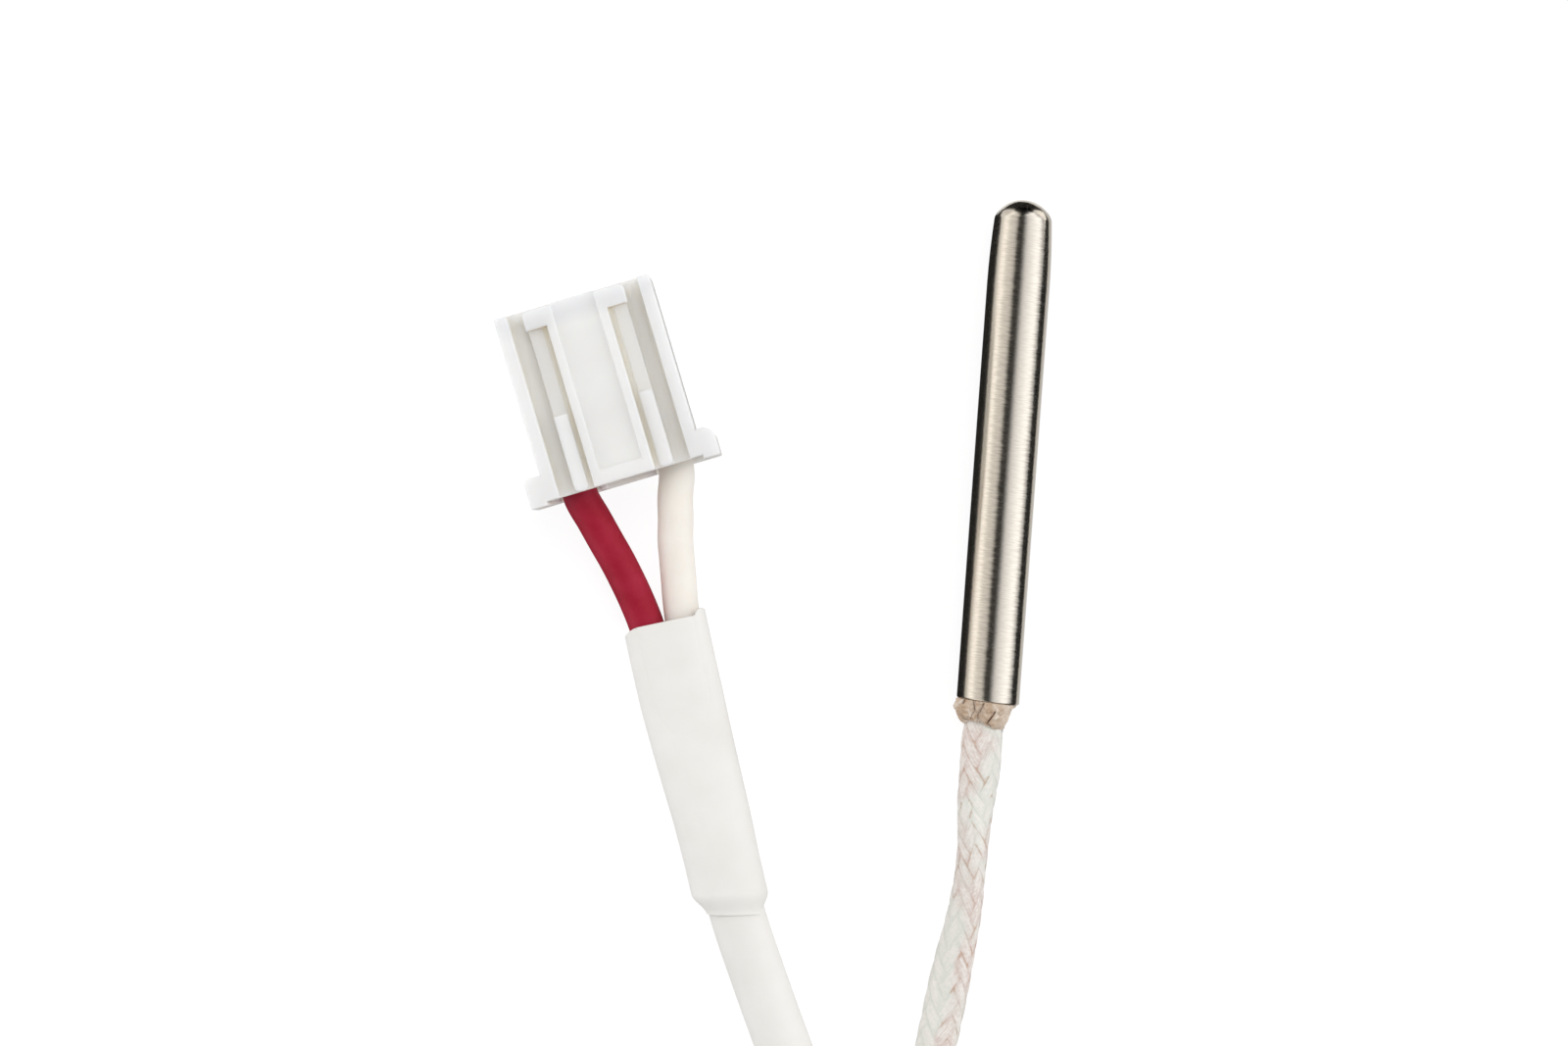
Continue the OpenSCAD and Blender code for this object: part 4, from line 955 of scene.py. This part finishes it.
def crack_and_shade_at(across, out):
    """How deep and how brown the cement's cracks and their painted shade are at a place above. Their right
    lips stand up.
    """
    deep, brown, lip = 0.0, 0.0, 0.0
    for near, depth, far, on_right in lines_by(CEMENT_CRACKS_AND_SHADE, across, out):
        if on_right:
            lip = max(lip, depth * 0.7 * math.exp(-(far / 0.14) ** 2))
        deep, brown = max(deep, depth * near), max(brown, near * min(1.0, 0.35 + depth * 7))
    return deep - lip, brown


class PROBE_OT_potting(bpy.types.Operator):
    """Makes the lumpy, cracked cement that fills the sheath's mouth"""

    bl_idname = "probe.potting"
    bl_label = "Potting"

    def execute(self, context):
        noise.seed_set(CEMENT_SEED)
        sides, rows, inside = 360, 80, 4
        rings, crack_and_shade_values, pale_and_lit_values = [], [], []
        for share in [*np.linspace(-0.4, 0, inside + 1)[:-1], *np.linspace(0, 1, rows)]:
            ring, crack, pale = zip(*(self.point(2 * math.pi * i / sides, share) for i in range(sides)))
            rings.append(ring)
            crack_and_shade_values += crack
            pale_and_lit_values += pale
        # The last ring turns in to the lead
        last = np.array(rings[-1])
        middle = last.mean(axis=0)
        rings.append((middle + (last - middle) * 0.7 + (0, 0.12 * MM, 0)).tolist())
        mesh = skin("cement_potting", [(np.array(rings), 1, np.arange(len(rings)) / len(rings))])
        # The turned-in last ring is browned a little: painted shade where it tucks under the lip
        mark(mesh, "crack", crack_and_shade_values + [0.3] * sides)
        mark(mesh, "pale", pale_and_lit_values + [0.0] * sides)
        cement = cast_cement(context.scene.probe_colours)
        place("cement_potting", mesh, "potting_cement", cement, "potting_plug")
        return {"FINISHED"}

    def point(self, angle, share):
        """One point of the cement's skin, with how brown it is from cracks and painted shade, and how pale,
        painted light included.
        """
        side, upper = math.cos(angle), max(0.0, math.sin(angle))
        if share <= 0:
            radius, out, crack, pale = SHEATH_R - 0.27, share, 0.0, 0.0
        else:
            ragged = 0.03 * noise.noise(Vector((side * 6.0, math.sin(angle) * 6.0, 4.0)))
            out = share * (np.interp(side * 1.1, *zip(*CEMENT_REACH)) + ragged)
            top = np.interp(out, *zip(*CEMENT_TOP))
            edge = np.interp(out, *zip(*(CEMENT_LEFT if side < 0 else CEMENT_RIGHT)))
            radius = top + (edge - top) * abs(side) ** 3
            rise, pale = self.lumps(angle, out)
            # On the right it stands up over the lead's edge
            shoulder = max(0.0, side * math.sin(angle)) * clamped((out - 0.6) / 0.5)
            radius += rise * min(1.0, out / 0.08) + 0.3 * shoulder
            # The right side is painted paler: painted light from the right
            pale = max(pale, 0.45 * clamped(side * 2.2 - 0.5))
            deep, crack, high, edge_pale = 0.0, 0.0, 0.0, 0.0
            if upper > 0:
                high, edge_pale = ridge_at(radius * side, out)
                deep, crack = crack_and_shade_at(radius * side, out)
            # Its lower lip slopes down to the lead and is worn pale
            radius += high - deep - 0.2 * upper * max(0.0, 1 - (1 - share) / 0.18) ** 2
            pale = max(max(pale, edge_pale) * (1 - crack), 0.7 * math.exp(-((1 - share) / 0.04) ** 2))
        y = MOUTH_Y - out - TUBE_ASKEW * radius * side * (1 - max(0.0, share))
        return (radius * side * MM, y * MM, (AXIS_Z + radius * math.sin(angle)) * MM), crack, pale

    def lumps(self, angle, out):
        """Broken lumps: each stands at its own height and tilt. Returns the rise and how pale its face is:
        faces whose tilt leans towards +x are painted paler, which is painted light on the facets.
        """
        seed = Vector((math.cos(angle) * 1.3, out, math.sin(angle) * 1.3))
        bent = seed / 0.62 + noise.noise_vector(seed * 2.4) * 0.45
        far, points = noise.voronoi(bent)
        tilt = noise.noise_vector(points[0] * 5.3)
        height = 0.06 * noise.noise(points[0] * 9.1) + 0.13 * tilt.dot(bent - points[0])
        grit = 0.035 * noise.fractal(seed * 6.0, 0.7, 2.0, 4)
        seam = math.exp(-((far[1] - far[0]) / 0.08) ** 2)
        return height + grit - 0.02 * seam, max(0.0, min(0.6, 1.1 * tilt.x + 0.1)) * (1 - seam)


def wide_route():
    """Points of the wide sleeve's line, and its width, thickness and boxiness at each of them."""
    parts = len(WIDE_LINE) - 1
    shares = [clamped((i - 2) / (parts - 4)) for i in range(parts + 1)]
    sizes = np.array([[a + (b - a) * t for a, b in ((4.25, 3.8), (2.6, 3.55), (3.2, 2.2))] for t in shares])
    return [(x, y, thick / 2 + 0.03) for (x, y), thick in zip(WIDE_LINE, sizes[:, 1])], sizes


class PROBE_OT_sleeves(bpy.types.Operator):
    """Makes the narrow sleeve on the lead and the wide one over the joints"""

    bl_idname = "probe.sleeves"
    bl_label = "Shrink sleeves"

    def execute(self, context):
        material = shrunk_sleeve(context.scene.probe_colours)
        self.wide(material)
        self.narrow(material)
        return {"FINISHED"}

    def wide(self, material):
        """The wide sleeve: a flat mouth with one corner rounded and one pointed, and a soft shoulder."""
        points, sizes = wide_route()
        route = np.array(from_mouth(points))
        line = smooth_line(route, 0.08 * MM)
        run = distances(line) / MM
        knots = distances(route) / distances(route)[-1] * run[-1]
        width, thick, square = points_at(run, knots, sizes).T
        sides, wall, narrow, least = 96, 0.26, 2.8, 1.405
        # The end closes down onto the narrow sleeve
        left = np.clip((run[-1] - run) / 0.9, 0, 1)
        eased = left * left * (3 - 2 * left)
        halves = np.stack([narrow + (size - narrow) * eased for size in (width, thick)], axis=1)
        halves = halves[:, :, None] / 2
        unit = np.array([oval(sides, s if part == 1 else 2.2) for s, part in zip(square, left)])
        even = 1 + np.array([self.wave(r, sides) for r in run])[:, None]
        ahead = aheads(line)
        at_mouth = np.clip(1 - run / 1.6, 0, 1)[:, None]
        at_end = np.clip(1 - (run[-1] - run) / 5.0, 0, 1)[:, None] ** 1.5
        rings = []
        for half in (halves, np.maximum(halves - wall, least)):
            shape = unit * half * even
            side = shape[:, 0, :]
            # The mouth's left corner is rounded off and its right one pointed; the far end was cut askew
            reach = side[0].max()
            corner = 0.32 * np.clip((side - (reach - 0.75)) / 0.75, 0, 1) ** 2.5
            point = -0.28 * np.exp(-((side + reach - 0.1) / 0.16) ** 2)
            push = (corner + point) * at_mouth + (0.72 - side * 0.24) * at_end
            rings.append(sweep(line, shape * MM) + push[:, :, None] * ahead[:, None, :] * MM)
        outer, inner = rings
        rim = (outer[0] + inner[0]) / 2 - ahead[0] * 0.05 * MM
        rings = np.concatenate([inner[::-1], rim[None], outer])
        along = np.concatenate([-run[::-1] - 0.2, [-0.1], run])
        place("wide_sleeve_shrunk", [(rings, 12, along)], "shrink_sleeve", material, "wide_sleeve")

    def wave(self, along, sides):
        """The sleeve's slow unevenness where it shrank over what lies in it."""
        return np.array([
            0.003 * noise.noise(Vector((math.cos(a) * 1.2, math.sin(a) * 1.2, along * 0.35)))
            for a in 2 * math.pi * (np.arange(sides) + 0.5) / sides])

    def narrow(self, material):
        """The narrow sleeve: slightly proud rings where it has gripped the braid's crossings."""
        line = smooth_line(from_mouth(PLUG_ROUTE[NARROW_FROM:]), 0.12 * MM)
        run = distances(line) / MM
        radius, bore, sides, turned_in = 1.4, 1.09, 56, 6
        proud = [radius + 0.004 * noise.noise(Vector((0, 0, at * 1.3))) for at in run]
        outer = np.array([oval(sides) * size for size in proud]) * MM
        rings_out = sweep(line, outer)
        rings_in = sweep(line, outer * (bore / radius))
        rings = np.concatenate([rings_in[turned_in:0:-1], rings_in[:1], rings_out])
        along = np.concatenate([-run[turned_in:0:-1], [-0.05], run])
        place("narrow_sleeve_shrunk", [(rings, 9, along)], "shrink_sleeve", material, "narrow_sleeve")


def plug_point(x, y, z):
    """A point of the housing, from the middle of its wire side, as millimetres from the mouth."""
    cos, sin = math.cos(PLUG_TURN), math.sin(PLUG_TURN)
    return PLUG_X + x * cos - y * sin, PLUG_Y + x * sin + y * cos, z


# How far each wire lies from the wide sleeve's middle
WIRE_ASIDE = 0.91


def in_sleeve(side, down):
    """Where a wire lies in the wide sleeve, so far down from its mouth."""
    route = np.array(wide_route()[0])
    here, on = points_at([down, down + 0.1], distances(route), route)
    ahead = (on - here) / np.linalg.norm(on - here)
    return here + np.cross((0, 0, 1), ahead) * side * WIRE_ASIDE


class PROBE_OT_wires(bpy.types.Operator):
    """Makes the red and the white wire between the wide sleeve and the plug"""

    bl_idname = "probe.wires"
    bl_label = "Plug wires"

    def execute(self, context):
        colours = context.scene.probe_colours
        width = context.scene.probe_sizes.wire_width
        for name, side, bend, material in (
                ("wire_red_rubber", -1, RED_BEND, red_silicone(colours)),
                ("wire_white_rubber", 1, WHITE_BEND, white_silicone(colours))):
            inside = [in_sleeve(side, down) for down in (3.6, 1.8, 0.2)]
            way = [plug_point(side * WAY_PITCH, y, WAY_Z) for y in (0, 0.8, 2.5)]
            line = smooth_line(from_mouth(inside + bend + way), 0.1 * MM)
            run = distances(line) / MM
            sides = 48
            # The contact's crimp grips the rubber thinner
            grip = np.interp(run[-1] - run, [0, 1.6, 2.0], [1.6 / 1.8, 1.6 / 1.8, 1.0])
            rings = sweep(line, oval(sides)[None] * (width / 2) * grip[:, None, None])
            place(name, [(rings, 6, run)], name, material, name.replace("_rubber", ""))
        return {"FINISHED"}


class PROBE_OT_housing(bpy.types.Operator):
    """Makes the moulded plug housing, with its outer edges softened"""

    bl_idname = "probe.housing"
    bl_label = "Plug housing"

    def execute(self, context):
        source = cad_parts["plug_housing"].data
        shape = bmesh.new()
        shape.from_mesh(source)
        bmesh.ops.remove_doubles(shape, verts=shape.verts, dist=0.001 * MM)
        bmesh.ops.dissolve_limit(shape, angle_limit=math.radians(1.0), verts=shape.verts, edges=shape.edges)
        # The top edges are rounder than the others
        sharp_from = math.radians(50)
        size = context.scene.probe_sizes.edge_round
        for lowest, offset, segments in ((KEY_TOP * MM, 2.2 * size, 4), (-1.0, size, 2)):
            sharp = [e for e in shape.edges if e.is_manifold and e.is_convex
                     and e.calc_face_angle(0.0) > sharp_from
                     and min(v.co.z for v in e.verts) > lowest]
            bmesh.ops.bevel(shape, geom=sharp, offset=offset, segments=segments,
                            profile=0.5, affect="EDGES", clamp_overlap=False)
        bmesh.ops.triangulate(shape, faces=[f for f in shape.faces if len(f.verts) > 4])
        mesh = bpy.data.meshes.new("nylon_housing")
        shape.to_mesh(mesh)
        shape.free()
        mesh.shade_smooth()
        mesh.set_sharp_from_angle(angle=sharp_from)
        nylon = moulded_nylon(context.scene.probe_colours)
        piece = place("nylon_housing", mesh, "housing_nylon", nylon, "plug_housing")
        # Flat faces keep their own shading, and only the roundings blend
        evened = piece.modifiers.new("evened", "WEIGHTED_NORMAL")
        evened.keep_sharp = True
        evened.weight = 100
        shaded = bpy.data.meshes.new_from_object(piece.evaluated_get(context.evaluated_depsgraph_get()))
        piece.modifiers.clear()
        piece.data = shaded
        bpy.data.meshes.remove(mesh)
        return {"FINISHED"}


class PROBE_OT_inner_pieces(bpy.types.Operator):
    """Finishes the pieces inside the sheath, the wide sleeve and the plug"""

    bl_idname = "probe.inner_pieces"
    bl_label = "Inner pieces"

    def execute(self, context):
        groups = (
            (amber_film(), ["liner_tube", *both("joint_sleeve")]),
            (plated_tin(), both("ferrule", "core_strands", "splice", "conductor", "contact")),
            (platinum_film(), ["platinum_track", *both("element_lead")]),
            (fired_alumina(), ["element_chip", "lead_bead"]),
            (fired_glass(), ["glass_cover"]),
            (bpy.data.materials["cement_cast"], ["tip_filler"]),
            (bpy.data.materials["silicone_red"], ["core_red", "core_tail_red"]),
            (bpy.data.materials["silicone_white"], ["core_white", "core_tail_white"]),
            (tie_nylon(), ["coil_tie"]),
        )
        for material, nodes in groups:
            for node in nodes:
                finish_node(node, material)
        return {"FINISHED"}


class PROBE_OT_declare_lead(bpy.types.Operator):
    """Takes the lead's path back off its object"""

    bl_idname = "probe.declare_lead"
    bl_label = "Lead's facts"

    def execute(self, context):
        lead = bpy.data.objects["braided_lead"]
        del lead["lead_path"]
        return {"FINISHED"}


OPERATORS = (
    PROBE_OT_stage, PROBE_OT_lead, PROBE_OT_sheath, PROBE_OT_potting, PROBE_OT_sleeves, PROBE_OT_wires,
    PROBE_OT_housing, PROBE_OT_inner_pieces, PROBE_OT_declare_lead,
)


class PROBE_PT_panel(bpy.types.Panel):
    """Lists the sizes, the colours and the steps that make the probe."""

    bl_label = "Temperature probe"
    bl_idname = "PROBE_PT_panel"
    bl_space_type = "VIEW_3D"
    bl_region_type = "UI"
    bl_category = "Probe"

    def draw(self, context):
        layout = self.layout
        for group in (context.scene.probe_sizes, context.scene.probe_colours):
            box = layout.box()
            for name in group.__annotations__:
                box.prop(group, name)
        for operator in OPERATORS:
            layout.operator(operator.bl_idname)


CLASSES = (ProbeSizes, ProbeColours, *OPERATORS, PROBE_PT_panel)


def register():
    for cls in CLASSES:
        bpy.utils.register_class(cls)
    bpy.types.Scene.probe_sizes = PointerProperty(type=ProbeSizes)
    bpy.types.Scene.probe_colours = PointerProperty(type=ProbeColours)


def unregister():
    del bpy.types.Scene.probe_colours
    del bpy.types.Scene.probe_sizes
    for cls in reversed(CLASSES):
        bpy.utils.unregister_class(cls)


def main():
    register()
    for operator in OPERATORS:
        group, name = operator.bl_idname.split(".")
        getattr(getattr(bpy.ops, group), name)()


if __name__ == "__main__":
    main()
